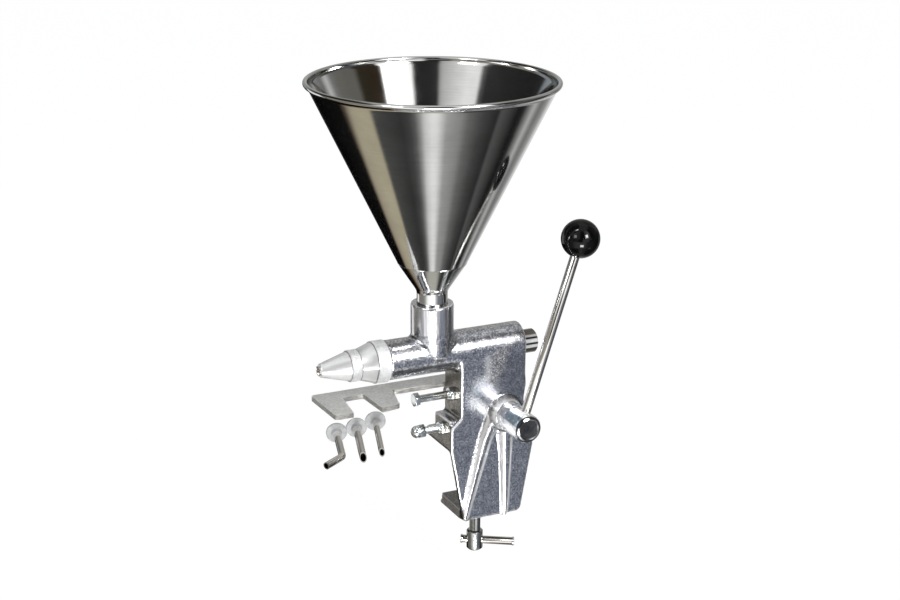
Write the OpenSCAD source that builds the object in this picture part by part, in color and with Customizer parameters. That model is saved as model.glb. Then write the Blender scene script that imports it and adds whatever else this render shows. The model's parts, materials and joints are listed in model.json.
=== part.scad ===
// Hand-operated pastry filling machine: steel hopper, cast body with a barrel
// and piston pump, lever drive, table clamp, support fork and filling tubes.
// Millimetres, +Z up, nozzle towards -X, lever on the -Y side.
// The origin lies on the table seat, straight above the clamp screw in X and
// in the middle plane of the barrel.

/* [Hopper] */
// Distance of the hopper axis in front of the clamp screw
hopper_x = 55; // [50:1:62]
// Diameter of the rim, at the middle of its rolled bead
rim_d = 248.8; // [180:1:280]
// Height of the rim bead above the neck's top
rim_rise = 226; // [180:1:270]
// Diameter of the rolled bead
bead_d = 5; // [3:0.5:7]
// Thickness of the hopper's sheet
sheet_t = 1.2; // [1:0.1:2]
// Outer diameter at the weld between cone and funnel
weld_d = 70.6; // [60:1:84]
// Height of the weld above the neck's top
weld_rise = 43; // [37:1:54]
// Height of the funnel's lower end above the neck's top
funnel_rise = 13; // [9:1:19]
// Radius of the hollow curve between funnel and spout
spout_fillet = 12; // [6:1:14]
// Outer diameter of the hopper's spout
spout_d = 31.6; // [28:0.1:32]
// Depth of the spout in the neck
spout_depth = 22; // [16:1:24]
// Radial play of the spout in the neck
spout_play = 0.3; // [0.3:0.05:0.6]
// Thickness of the gasket under the spout
gasket_t = 2; // [1.5:0.5:3]

/* [Barrel and neck] */
// Height of the barrel axis above the table seat
barrel_z = 106; // [100:1:115]
// Outer diameter of the barrel
barrel_d = 41; // [39:0.5:44]
// Distance of the barrel's rear end behind the clamp screw
barrel_rear = 44; // [42:1:50]
// Distance of the barrel's front shoulder in front of the clamp screw
barrel_front = 108.8; // [100:1:112]
// Diameter of the threaded spigot on the barrel's front end
spigot_d = 36; // [34:0.5:37]
// Length of the threaded spigot
spigot_len = 12; // [8:1:13]
// Outer diameter of the neck
neck_d = 44; // [42:0.5:46]
// Height of the neck's top above the table seat
neck_top = 161; // [156:1:166]
// Diameter of the feed port from the neck into the barrel
port_d = 24; // [18:0.5:24]

/* [Piston] */
// Distance of the pump bore's axis below the barrel's outer axis
pump_drop = 2.8; // [0:0.2:3]
// Diameter of the piston
piston_d = 25; // [22:0.5:25]
// Radial running play of the piston in the barrel
piston_play = 0.05; // [0.02:0.01:0.08]
// Distance that the piston stands out behind the barrel at rest
piston_out = 18.2; // [15:0.2:22]
// Diameter of the piston pin
pin_d = 8; // [6:0.5:8]
// Cross-section diameter of a piston seal ring
seal_d = 2.5; // [2:0.1:3]

/* [Nozzle] */
// Outer diameter of the union nut's ring
nut_d = 43.6; // [42:0.2:46]
// Length of the union nut's ring
nut_ring = 13.9; // [12:0.1:15]
// Length of the union nut's cone
nut_cone = 15.6; // [14:0.1:20]
// Distance across the two spanner flats of the nut
nut_flats = 38; // [36:0.5:41]
// Outer diameter of the nozzle's ring
nozzle_d = 32.5; // [30:0.5:33]
// Length of the nozzle's ring
nozzle_ring = 10.7; // [9:0.1:12]
// Length of the nozzle's cone
nozzle_cone = 30; // [24:1:36]
// Outer diameter of the nozzle's tip
tip_d = 13.4; // [12.5:0.1:15]
// Outer diameter of the outlet tube in the tip
outlet_d = 10.8; // [9:0.1:11]
// Inner diameter of the outlet tube
outlet_bore = 8.6; // [6:0.1:8.6]
// Distance that the outlet tube stands out of the tip
outlet_out = 1.2; // [0.5:0.1:3]
// Diameter of the flange on a filling tube
flange_d = 22; // [20:0.5:22.5]
// Thickness of the flange on a filling tube
flange_t = 2.6; // [2:0.1:3]

/* [Body casting] */
// Thickness of the casting's walls
wall_t = 5; // [4:0.5:6]
// Distance of the upper front wall in front of the clamp screw
front_top = 31.2; // [30:0.2:34]
// Distance of the lower front wall in front of the clamp screw
front_low = 42.3; // [40:0.1:46]
// Height of the step between the two front walls
step_z = 33.5; // [31:0.5:35]
// Distance of the table seat's far edge behind the barrel's middle plane
seat_far = 41; // [36:1:44]
// Thickness of the seat at its far edge
seat_t = 9.5; // [8:0.5:11]
// Depth of the clamp's throat below the table seat
throat = 67; // [60:1:75]
// Thickness of the lower jaw
jaw_t = 13; // [12:0.5:16]
// Width of the lower jaw along the barrel
jaw_w = 58; // [48:1:60]
// Distance of the lower jaw's far edge behind the barrel's middle plane
jaw_far = 31.5; // [28:0.5:36]
// Largest diameter of the cone round the lever shaft's boss
boss_base = 90; // [70:2:96]
// Diameter of the boss's face
boss_d = 35; // [33:0.5:38]
// Distance that the boss stands out of the side plate
boss_h = 11.5; // [10:0.5:13]
// Width of a rib at its foot
rib_w = 7; // [5:0.5:9]
// Width of a rib next to the boss
rib_top_w = 17; // [12:0.5:19]
// Height of a rib next to the boss
rib_h = 9; // [6:0.5:10]

/* [Lever and shaft] */
// Distance of the lever shaft behind the clamp screw
shaft_x = 19; // [18:0.5:20]
// Height of the lever shaft above the table seat
shaft_z = 36; // [34:0.5:38]
// Diameter of the lever shaft
shaft_d = 16; // [14:0.5:17]
// Radial running play of the shaft in its bushes
shaft_play = 0.04; // [0.02:0.01:0.08]
// Wall thickness of a shaft bush
bush_t = 2; // [1.5:0.5:2.5]
// Lean of the lever to the rear at rest, in degrees
lever_lean = 18.25; // [17:0.25:20]
// Swing of the lever from stop to stop, in degrees
swing = 24.5; // [20:0.5:24.5]
// Length from the shaft's axis to the middle of the knob
lever_len = 201; // [190:1:205]
// Diameter of the lever's rod
rod_d = 10; // [9:0.5:11]
// Diameter of the ball knob
knob_d = 40; // [35:1:42]
// Distance of the lever's rod in front of the barrel's middle plane
rod_y = 59; // [57:0.5:59]
// Diameter of the lever's hub
hub_d = 30; // [28:0.5:32]
// Distance of the hub's outer end in front of the barrel's middle plane
hub_end = 72; // [72:1:76]
// Diameter of the hub's cap
cap_d = 28; // [24:0.5:28]
// Thickness of the hub's cap
cap_t = 3; // [2:0.5:5]

/* [Stop bolts] */
// Diameter of the stop bolts
bolt_d = 8; // [6:0.5:8]
// Height of the upper stop bolt above the table seat
stop_top_z = 58; // [56:0.5:61]
// Height of the lower stop bolt above the table seat
stop_low_z = 22; // [20:0.5:23]
// Distance of the upper bolt's head in front of the clamp screw
stop_top_head = 71; // [62:1:80]
// Distance of the acorn nut's base in front of the clamp screw
stop_low_head = 64.5; // [57:0.5:70]

/* [Table clamp] */
// Distance of the clamp screw behind the barrel's middle plane
clamp_y = 8; // [6:0.5:10]
// Diameter of the clamp screw
clamp_d = 12; // [10:0.5:13]
// Thickness of the table that the clamp holds at rest
table_t = 35; // [30:1:45]
// Depth of the clamp head's shoulder below the table seat
clamp_low = 105.8; // [104:0.5:108]
// Diameter of the clamp screw's head
clamp_head_d = 17.5; // [16.5:0.5:20]
// Length of the clamp screw's head
clamp_head_len = 22.3; // [20:0.1:26]
// Depth of the tommy bar below the head's shoulder
tommy_drop = 12.2; // [9:0.1:13]
// Diameter of the pressure pad
pad_d = 28; // [24:1:30]
// Thickness of the pressure pad
pad_t = 8; // [7:0.5:10]
// Diameter of the tommy bar
tommy_d = 8.5; // [7:0.5:9]
// Length of the tommy bar
tommy_len = 57.5; // [52:0.5:66]
// Distance that the tommy bar is pushed through its hole at rest
tommy_slid = 13.7; // [8:0.1:14]
// Turn of the clamp screw at rest, in degrees
clamp_turn = -31.8; // [-60:0.2:60]

/* [Support fork] */
// Height of the fork's top face above the table seat
fork_z = 61; // [60:0.5:62]
// Thickness of the fork
fork_t = 5; // [4:0.5:6]
// Distance of the fork's front end in front of the clamp screw
fork_front = 170; // [165:1:176]
// Distance of the fork's far edge behind the barrel's middle plane
fork_far = 49; // [46:1:53]
// Width of the fork's bar
fork_bar = 19.5; // [17:0.5:22]
// Distance that the prongs reach in front of the barrel's middle plane
prong_reach = 14; // [8:1:18]

/* [Filling tubes] */
// Outer diameter of the bent filling tube
bent_d = 7.6; // [7:0.1:8.5]
// Outer diameter of the large straight filling tube
large_d = 7.6; // [7:0.1:8.5]
// Outer diameter of the small straight filling tube
small_d = 6.4; // [5.5:0.1:7]
// Wall thickness of a filling tube
tube_wall = 0.8; // [0.6:0.1:1]
// Length of the large straight filling tube in front of its flange
large_len = 69; // [50:1:80]
// Length of the small straight filling tube in front of its flange
small_len = 72; // [50:1:80]
// Length of the bent tube before its bend
bent_first = 48; // [30:1:52]
// Length of the bent tube after its bend
bent_last = 22; // [16:1:30]
// Turn of the bent tube's bend, in degrees
bend_turn = 47; // [30:1:60]

/* [Hidden] */
$fn = 96;

// Overlap that joins the solids of one piece, and depth of cuts past a face
eps = 0.5;
// Gap between seated pieces that touch on curved or threaded faces
seat_gap = 0.05;
// Gap between pieces that move past each other
free_gap = 0.3;

barrel_r = barrel_d / 2;
piston_r = piston_d / 2;
bore_r = piston_r + piston_play;
// Side faces lie this far inside the barrel's widest points
merge = 0.2;
plate_y = merge - barrel_r;
far_y = barrel_r - merge;
spigot_x = -barrel_front - spigot_len;

// Hopper
rim_z = neck_top + rim_rise;
weld_z = neck_top + weld_rise;
funnel_z = neck_top + funnel_rise;
rim_r = rim_d / 2;
bead_r = bead_d / 2;
weld_r = weld_d / 2;
spout_r = spout_d / 2;
socket_r = spout_r + spout_play;
spout_low = neck_top - spout_depth;
socket_low = spout_low - gasket_t;
cone_slope = (rim_r - weld_r) / (rim_z - weld_z);
cone_skin = sheet_t * sqrt(1 + cone_slope * cone_slope);
funnel_lean = atan2(weld_r - spout_r, weld_z - funnel_z);
fillet_foot = funnel_z - spout_fillet * tan(funnel_lean / 2);

// Lever, arm and piston: the arm swings evenly to both sides of upright
arm_lean = swing / 2;
pump_z = barrel_z - pump_drop;
arm_reach = pump_z - shaft_z;
pin_x = shaft_x + arm_reach * tan(arm_lean);
piston_rear = barrel_rear + piston_out;
port_x = -hopper_x;
piston_front = port_x + port_d / 2 + 1;
arm_t = 8;
arm_half = 9;
tail_half = 7;
tail_len = 24;
tine_t = 4;
fork_slot = pin_d + 2 * free_gap;
arm_tip = arm_reach + 5.5;
arm_hub_d = 28;
cavity_y = far_y - wall_t;
cavity_front = -front_top + wall_t + 1;
cavity_top = barrel_z - barrel_r;
boss_y = plate_y - boss_h;
far_boss_y = far_y + 4;
bush_r = shaft_d / 2 + bush_t;
key_w = 5;
key_len = 22;
screw_d = 5;

// Stop bolts: their inner ends meet the arm at the two ends of its swing
bolt_r = bolt_d / 2;
bolt_head_w = 13;
bolt_head_t = 5.3;
lock_nut_t = 5;
top_face_x = shaft_x - arm_half / cos(arm_lean)
    - (stop_top_z - shaft_z + bolt_r) * tan(arm_lean);
low_face_x = shaft_x - tail_half / cos(arm_lean)
    - (shaft_z - stop_low_z + bolt_r) * tan(arm_lean);
stop_top_end = top_face_x - free_gap;
stop_low_end = low_face_x - free_gap;

// Clamp
jaw_low = -throat - jaw_t;
pad_tip_d = 8;
pad_tip_len = 5;
clamp_top = -table_t - pad_t;
tommy_z = -clamp_low - tommy_drop;

// Rounded outline points: a quarter or other arc from angle a0 to a1
function arc(c, r, a0, a1, n = 8) =
    [for (i = [0:n]) c + r * [cos(a0 + (a1 - a0) * i / n), sin(a0 + (a1 - a0) * i / n)]];

// A cylinder along X from x0 to x1 on the barrel's axis
module x_rod(d, x0, x1, z = barrel_z, y = 0)
    translate([x0, y, z]) rotate([0, 90, 0]) cylinder(d = d, h = x1 - x0);

// A cylinder along Y from y0 to y1
module y_rod(d, y0, y1, x = shaft_x, z = shaft_z)
    translate([x, y1, z]) rotate([90, 0, 0]) cylinder(d = d, h = y1 - y0);

// A box from its lowest to its highest corner
module block(a, b) translate(a) cube(b - a);

// A part drawn upright at the shaft and turned with the lever or the arm
module turned(angle) translate([shaft_x, 0, shaft_z]) rotate([0, angle, 0]) children();

// An outline in X and Z made into a plate between y0 and y1
module xz_plate(y0, y1) translate([0, y1, 0]) rotate([90, 0, 0]) linear_extrude(y1 - y0) children();

// Hexagon nut or head along X, its base at x0 and its other face at x1
module hex_along_x(w, x0, x1, z)
    translate([x0, 0, z]) rotate([0, 90, 0]) intersection() {
        cylinder(d = w / cos(30), h = x1 - x0, $fn = 6);
        union() {
            translate([0, 0, -eps]) cylinder(d = w * 1.14, h = x1 - x0 - 0.7 + eps);
            translate([0, 0, x1 - x0 - 0.7]) cylinder(d1 = w * 1.14, d2 = w * 0.95, h = 0.7);
        }
    }

plate_step_r = 5;
pin_hole_d = 2.5;
pin_hole_z = 3;
plate_corner = 6;
bottom_z = jaw_low;
plate_rear_low = barrel_rear - 3;
plate_rear_wide = barrel_rear + 10;
front_foot = front_low - 15;
heel_r = 8;
waist_r = 6;
shoulder_r = 11.5;

// Side plate outline: straight upper front, step forward, slanted lower front
module plate_outline()
    polygon(concat(
        [[-front_top, barrel_z - 1], [-front_top, step_z + 5]],
        arc([-front_top - plate_step_r, step_z + 5], plate_step_r, 0, -70),
        arc([-front_low + plate_step_r, step_z - 9], plate_step_r, 110, 180),
        [[-front_low, 0], [-front_foot - 0.8, bottom_z + 3]],
        arc([-front_foot + 1.2, bottom_z + 2], 2, 180, 270, 4),
        arc([plate_rear_low - plate_corner, bottom_z + plate_corner], plate_corner, 270, 350),
        arc([plate_rear_wide - heel_r, -heel_r / 2], heel_r, 350, 390),
        arc([barrel_rear + 3, shaft_z + 11], waist_r, 210, 170, 4),
        arc([barrel_rear - 0.5 - shoulder_r, shaft_z + 28], shoulder_r, -20, 0, 4),
        [[barrel_rear - 0.5, barrel_z - 1]]));

// Rib on the side plate from the boss down to the plate's lower edge, drawn
// upright, then tilted about its foot; w is the width at the plate's face
module rib(x_top, z_top, w_top, h_top, x_low, w_low, h_low) {
    rib_len = norm([x_top - x_low, z_top - bottom_z]);
    draft = 0.3;
    translate([x_low, plate_y + eps, bottom_z]) rotate([0, atan2(x_top - x_low, z_top - bottom_z), 0])
        polyhedron(
            points = [for (e = [[0, w_low, h_low + eps], [rib_len, w_top, h_top + eps]])
                for (c = [[-1, 0], [1, 0], [1, 1], [-1, 1]])
                    [c[0] * (e[1] / 2 + draft * eps - draft * c[1] * e[2]), -c[1] * e[2], e[0]]],
            faces = [[3, 2, 1, 0], [4, 5, 6, 7], [0, 1, 5, 4], [1, 2, 6, 5], [2, 3, 7, 6], [3, 0, 4, 7]]);
}

module barrel_solid() {
    x_rod(barrel_d, -barrel_front, barrel_rear);
    x_rod(spigot_d, spigot_x, -barrel_front + eps);
    translate([port_x, 0, barrel_z]) cylinder(d = neck_d, h = neck_top - barrel_z);
}

module housing_solid() {
    block([-front_top, plate_y + wall_t - eps, step_z - eps], [barrel_rear - 1, far_y, barrel_z]);
    block([-front_low, plate_y + wall_t - eps, 0], [barrel_rear - 1, far_y, step_z]);
    translate([-front_low, 0, 0]) rotate([90, 0, 90]) linear_extrude(front_low + barrel_rear - 4)
        polygon([[far_y - eps, 0], [seat_far, 0], [seat_far, seat_t], [far_y + 2, seat_t + 8],
                 [far_y - eps, seat_t + 9]]);
    y_rod(boss_d - 3, cavity_y, far_boss_y);
}

// Shallow cone round the near boss, kept inside the side plate's outline
module boss_cone()
    intersection() {
        translate([shaft_x, plate_y + 0.01, shaft_z]) rotate([90, 0, 0])
            cylinder(d1 = boss_base, d2 = boss_d, h = boss_h);
        xz_plate(boss_y - eps, plate_y + wall_t) plate_outline();
    }

// The jaw's upper layer is a little smaller than the lower one, and its
// underside lies a little above the side plate's edge
jaw_layer = 8.5;
jaw_raise = 1.2;

module jaw_solid() {
    block([-jaw_w / 2, plate_y + wall_t - eps, -throat - jaw_layer], [jaw_w / 2, jaw_far, -throat]);
    block([-jaw_w / 2 - 1, plate_y + wall_t - eps, bottom_z + jaw_raise],
          [jaw_w / 2 + 1, jaw_far + 1, -throat - jaw_layer]);
}

module main_casting() color("#b9bdc4")
    difference() {
        union() {
            barrel_solid();
            xz_plate(plate_y, plate_y + wall_t) plate_outline();
            housing_solid();
            boss_cone();
            rib(shaft_x - 14.4, shaft_z + 3, rib_top_w + 1, rib_h, 3 - front_foot, rib_w - 1, rib_h * 0.4);
            rib(shaft_x + 0.6, shaft_z - 6, rib_top_w, rib_h - 1, shaft_x + 0.6, rib_w + 1, rib_h / 2);
            jaw_solid();
        }
        // Pump bore, feed port and socket for the hopper's spout
        x_rod(2 * bore_r, spigot_x - eps, barrel_rear + eps, pump_z);
        translate([port_x, 0, barrel_z]) cylinder(d = port_d, h = neck_top - barrel_z);
        translate([port_x, 0, socket_low]) cylinder(r = socket_r, h = neck_top - socket_low + eps);
        // Space of the drive arm, open to the rear, and its slot into the bore
        block([cavity_front, -cavity_y, seat_t], [barrel_rear + eps, cavity_y, cavity_top]);
        block([pin_x - 2 * arm_reach * tan(arm_lean) - 14, -arm_t / 2 - 2, cavity_top - eps],
              [barrel_rear + eps, arm_t / 2 + 2, pump_z]);
        // Bearings of the lever shaft
        y_rod(2 * bush_r + 2 * seat_gap, boss_y - eps, plate_y + wall_t + eps);
        y_rod(2 * bush_r + 2 * seat_gap, cavity_y - eps, far_boss_y + eps);
        // Threaded holes of the stop bolts and the clamp screw
        x_rod(bolt_d + 2 * seat_gap, -front_top - eps, cavity_front + eps, stop_top_z);
        x_rod(bolt_d + 2 * seat_gap, -front_low - eps, cavity_front + eps, stop_low_z);
        translate([0, clamp_y, bottom_z - eps]) cylinder(d = clamp_d + 4 * seat_gap, h = jaw_t + 2 * eps);
        // Blind hole in the front face of the seat
        x_rod(pin_hole_d, -front_low - eps, -front_low + 5, pin_hole_z, seat_far - 12.5);
        // Holes of the fork's screws
        for (x = fork_screw_x)
            y_rod(fork_screw_d + 2 * seat_gap, cavity_y - eps, far_y + eps, x, fork_screw_z);
    }

module bush(y0, y1) color("#b08d57")
    difference() {
        y_rod(2 * bush_r, y0, y1);
        y_rod(shaft_d + 2 * shaft_play, y0 - eps, y1 + eps);
    }
module front_bush() bush(boss_y + free_gap, plate_y + wall_t);
module rear_bush() bush(cavity_y, far_boss_y);

// Hopper

module hopper_cone() color("#c9ccce")
    translate([port_x, 0, 0]) rotate_extrude() {
        polygon([[weld_r, weld_z], [rim_r, rim_z], [rim_r - cone_skin, rim_z],
                 [weld_r - cone_skin, weld_z]]);
        translate([rim_r, rim_z]) circle(r = bead_r, $fn = 32);
    }

module hopper_funnel() color("#c9ccce")
    translate([port_x, 0, 0]) rotate_extrude()
        polygon(concat(
            [[weld_r, weld_z]],
            arc([spout_r + spout_fillet, fillet_foot], spout_fillet, 180 - funnel_lean, 180, 3),
            [[spout_r, spout_low], [spout_r - sheet_t, spout_low]],
            arc([spout_r + spout_fillet, fillet_foot], spout_fillet + sheet_t, 180, 180 - funnel_lean, 3),
            [[weld_r - cone_skin, weld_z]]));

module hopper_gasket() color("#e6e4dc")
    translate([port_x, 0, socket_low]) difference() {
        cylinder(r = socket_r - seat_gap, h = gasket_t);
        translate([0, 0, -eps]) cylinder(d = port_d + 1, h = gasket_t + 2 * eps);
    }

// Piston

seal_groove_x = [piston_front + 5, piston_front + 11];

module piston() color("#d3d5d6")
    difference() {
        translate([piston_front, 0, pump_z]) rotate([0, 90, 0]) union() {
            cylinder(r1 = piston_r - 1, r2 = piston_r, h = 1);
            translate([0, 0, 1]) cylinder(r = piston_r, h = piston_rear - piston_front - 2.2);
            translate([0, 0, piston_rear - piston_front - 1.2])
                cylinder(r1 = piston_r, r2 = piston_r - 1.2, h = 1.2);
        }
        for (x = seal_groove_x) difference() {
            x_rod(piston_d + 2, x - seal_d / 2 - seat_gap, x + seal_d / 2 + seat_gap, pump_z);
            x_rod(piston_d - 2 * seal_d - 2 * seat_gap, x - seal_d, x + seal_d, pump_z);
        }
        block([pin_x - 12.2, -arm_t / 2 - free_gap - 0.2, pump_z - piston_r - eps],
              [pin_x + 12.2, arm_t / 2 + free_gap + 0.2, pump_z + 8.6]);
        y_rod(pin_d + seat_gap, -piston_r - eps, piston_r + eps, pin_x, pump_z);
    }

module piston_pin() color("#9da1a5")
    y_rod(pin_d, -piston_r + 0.6, piston_r - 0.6, pin_x, pump_z);

module piston_seals() color("#f0efe9")
    for (x = seal_groove_x)
        translate([x, 0, pump_z]) rotate([0, 90, 0]) rotate_extrude()
            translate([piston_r - seal_d / 2, 0]) circle(d = seal_d, $fn = 32);

// Nozzle

nut_back = -barrel_front;
nut_shoulder = nut_back - nut_ring;
nut_front = nut_shoulder - nut_cone;
nozzle_back = nut_front - seat_gap;
nozzle_shoulder = nozzle_back - nozzle_ring;
tip_x = nozzle_shoulder - nozzle_cone;
nozzle_thread_d = 27;
flange_x = nozzle_shoulder;

module union_nut() color("#d5d7d9")
    difference() {
        union() {
            x_rod(nut_d, nut_shoulder, nut_back - seat_gap);
            intersection() {
                translate([nut_front, 0, barrel_z]) rotate([0, 90, 0])
                    cylinder(d1 = nozzle_d - 1.5, d2 = nut_d - 1.6, h = nut_cone + 0.01);
                rotate([25, 0, 0]) translate([0, barrel_z * sin(25), barrel_z * cos(25)])
                    block([nut_front - 1, -nut_flats / 2, -nut_d], [nut_back, nut_flats / 2, nut_d]);
            }
        }
        x_rod(spigot_d + 2 * seat_gap, spigot_x - seat_gap - gasket_t, nut_back + eps);
        x_rod(nozzle_thread_d + 2 * seat_gap, nut_front - eps, spigot_x);
    }

module nozzle_gasket() color("#e6e4dc")
    difference() {
        x_rod(spigot_d - 1, spigot_x - gasket_t, spigot_x);
        x_rod(2 * bore_r, spigot_x - gasket_t - eps, spigot_x + eps, pump_z);
    }

module nozzle() color("#d5d7d9")
    difference() {
        union() {
            x_rod(nozzle_d, nozzle_shoulder, nozzle_back);
            translate([tip_x, 0, barrel_z]) rotate([0, 90, 0])
                cylinder(d1 = tip_d, d2 = nozzle_d - 2.2, h = nozzle_cone + 0.01);
            x_rod(nozzle_thread_d, nozzle_back - eps, spigot_x - gasket_t - seat_gap);
        }
        x_rod(outlet_d + 2 * seat_gap, tip_x - eps, flange_x + eps);
        x_rod(flange_d + 2 * free_gap, flange_x - flange_t, spigot_x);
    }

module outlet_tube() color("#aab4bd")
    difference() {
        union() {
            x_rod(outlet_d, tip_x - outlet_out, flange_x);
            x_rod(flange_d, flange_x - flange_t, flange_x);
        }
        x_rod(outlet_bore, tip_x - outlet_out - eps, flange_x + eps);
    }

// Lever drive

shaft_ring_y = far_boss_y + 0.2;
shaft_near = hub_end - 2;
shaft_far = shaft_ring_y + 3.5;

module key_block(w)
    turned(arm_lean) block([-w / 2, -key_len / 2, shaft_d / 2 - 2.5], [w / 2, key_len / 2, shaft_d / 2 + 2.2]);

module lever_shaft() color("#a5a9ad")
    difference() {
        y_rod(shaft_d, -shaft_near, shaft_far);
        key_block(key_w + 2 * seat_gap);
        difference() {
            y_rod(shaft_d + 2, shaft_ring_y, shaft_ring_y + 1.2);
            y_rod(shaft_d - 1.4, shaft_ring_y - eps, shaft_ring_y + 1.2 + eps);
        }
    }

module shaft_ring() color("#4a4c4e")
    difference() {
        y_rod(shaft_d + 6, shaft_ring_y + 0.1, shaft_ring_y + 1.1);
        y_rod(shaft_d - 1.2, shaft_ring_y, shaft_ring_y + 1.2 + eps);
        turned(arm_lean) block([-3, shaft_ring_y, -shaft_d], [3, shaft_ring_y + 1.2, 0]);
    }

module arm_key() color("#85898d")
    turned(arm_lean) block([-key_w / 2, -key_len / 2, shaft_d / 2 - 2.4], [key_w / 2, key_len / 2, shaft_d / 2 + 2]);

module arm_outline() difference() {
    polygon([[-tail_half, -tail_len], [tail_half, -tail_len], [arm_half, 0], [arm_half, arm_reach - 20],
             [tine_t + fork_slot / 2, arm_reach - 8], [tine_t + fork_slot / 2, arm_tip],
             [-tine_t - fork_slot / 2, arm_tip], [-tine_t - fork_slot / 2, arm_reach - 8],
             [-arm_half, arm_reach - 20], [-arm_half, 0], [-tail_half, 0]]);
    translate([0, arm_reach - 1.2]) circle(d = fork_slot);
    translate([-fork_slot / 2, arm_reach - 1.2]) square([fork_slot, 20]);
}

module drive_arm() color("#8f9398")
    difference() {
        turned(arm_lean) {
            rotate([90, 0, 0]) linear_extrude(arm_t, center = true) arm_outline();
            rotate([90, 0, 0]) cylinder(d = arm_hub_d, h = 2 * cavity_y - 1, center = true);
        }
        y_rod(shaft_d + 2 * seat_gap, -cavity_y, cavity_y);
        key_block(key_w + 2 * seat_gap);
        turned(arm_lean + 180) translate([0, -9, 0]) cylinder(d = screw_d + 2 * seat_gap, h = arm_hub_d);
    }

module arm_set_screw() color("#3b3d40")
    turned(arm_lean + 180) translate([0, -9, shaft_d / 2 + 0.1]) difference() {
        cylinder(d = screw_d, h = 6.5);
        translate([0, 0, 4]) cylinder(d = 2.5, h = 3, $fn = 6);
    }

hub_start = -boss_y + free_gap;
// Place along the hub and angle from upright of each of its set screws
hub_screws = [[39, 5], [hub_end - 4.7, 30]];
// Groove round the hub
groove_y = -45.8;
groove_w = 0.8;
rod_low = shaft_d / 2 + free_gap;
knob_seat = lever_len - 4;

module lever_hub() color("#dfe1e3")
    difference() {
        union() {
            y_rod(hub_d, -hub_end + 1, -hub_start);
            translate([shaft_x, -hub_end + 1, shaft_z]) rotate([90, 0, 0])
                cylinder(d1 = hub_d, d2 = hub_d - 2, h = 1);
        }
        y_rod(shaft_d + 2 * seat_gap, -hub_end - eps, -hub_start + eps);
        difference() {
            y_rod(hub_d + 2, groove_y, groove_y + groove_w);
            y_rod(hub_d - 1, groove_y - eps, groove_y + groove_w + eps);
        }
        turned(lever_lean) translate([0, -rod_y, 0]) cylinder(d = rod_d + 2 * seat_gap, h = hub_d);
        for (s = hub_screws)
            turned(s[1]) translate([0, -s[0], 0]) cylinder(d = screw_d + 2 * seat_gap, h = hub_d);
    }

module hub_set_screws() color("#3b3d40")
    for (s = hub_screws)
        turned(s[1]) translate([0, -s[0], shaft_d / 2 + 0.1]) difference() {
            cylinder(d = screw_d, h = 6);
            translate([0, 0, 3.5]) cylinder(d = 2.5, h = 3, $fn = 6);
        }

// Plug of the cap in the hub's bore, and the floor of its dished face
cap_plug = 1.5;
dish_d = cap_d - 9;

module hub_cap() color("#1c1d20")
    difference() {
        union() {
            y_rod(cap_d, -hub_end - cap_t + 1, -hub_end);
            translate([shaft_x, -hub_end - cap_t + 1, shaft_z]) rotate([90, 0, 0])
                cylinder(d1 = cap_d, d2 = cap_d - 2, h = 1);
            y_rod(shaft_d - 0.2, -hub_end - eps, -hub_end + cap_plug);
        }
        translate([shaft_x, -hub_end - cap_t + 0.8, shaft_z]) rotate([90, 0, 0])
            cylinder(d1 = dish_d, d2 = dish_d + 4, h = 1);
    }

module lever_rod() color("#c3c6c8")
    turned(lever_lean) translate([0, -rod_y, rod_low]) cylinder(d = rod_d, h = knob_seat - rod_low);

module ball_knob() color("#101113")
    turned(lever_lean) translate([0, -rod_y, 0]) difference() {
        translate([0, 0, lever_len]) sphere(d = knob_d);
        translate([0, 0, lever_len - knob_d]) cylinder(d = rod_d + 2 * seat_gap, h = knob_d - 3.8);
        translate([0, 0, lever_len - knob_d]) cylinder(d = knob_d, h = knob_d / 2 + 1);
    }

// Stop bolts

module upper_stop_bolt() color("#c8cacb") {
    x_rod(bolt_d, -stop_top_head - eps, stop_top_end, stop_top_z);
    mirror([1, 0, 0]) hex_along_x(bolt_head_w, stop_top_head, stop_top_head + bolt_head_t, stop_top_z);
}

module lock_nut(wall_x, z)
    difference() {
        mirror([1, 0, 0]) hex_along_x(bolt_head_w, wall_x, wall_x + lock_nut_t, z);
        x_rod(bolt_d + 2 * seat_gap, -wall_x - lock_nut_t - eps, -wall_x + eps, z);
    }
module upper_lock_nut() color("#c8cacb") lock_nut(front_top, stop_top_z);
module lower_lock_nut() color("#c8cacb") lock_nut(front_low, stop_low_z);

acorn_hex = 6;
acorn_r = 6.5;
acorn_dome = 1.5;

module lower_stop_stud() color("#c8cacb")
    x_rod(bolt_d, -stop_low_head - acorn_hex - 2, stop_low_end, stop_low_z);

module acorn_nut() color("#c8cacb")
    difference() {
        union() {
            mirror([1, 0, 0])
                hex_along_x(bolt_head_w, stop_low_head, stop_low_head + acorn_hex, stop_low_z);
            x_rod(2 * acorn_r, -stop_low_head - acorn_hex - acorn_dome, -stop_low_head - 1, stop_low_z);
            translate([-stop_low_head - acorn_hex - acorn_dome, 0, stop_low_z]) sphere(r = acorn_r);
        }
        x_rod(bolt_d + 2 * seat_gap, -stop_low_head - acorn_hex - 2 - seat_gap, 0, stop_low_z);
    }

// Table clamp

module pressure_pad() color("#9a9da1")
    translate([0, clamp_y, clamp_top]) difference() {
        union() {
            cylinder(d1 = pad_d - 3, d2 = pad_d, h = 1.5);
            translate([0, 0, 1.5]) cylinder(d = pad_d, h = pad_t - 1.5);
        }
        translate([0, 0, -eps]) cylinder(d = pad_tip_d + 2 * shaft_play, h = pad_tip_len + seat_gap + eps);
    }

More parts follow.
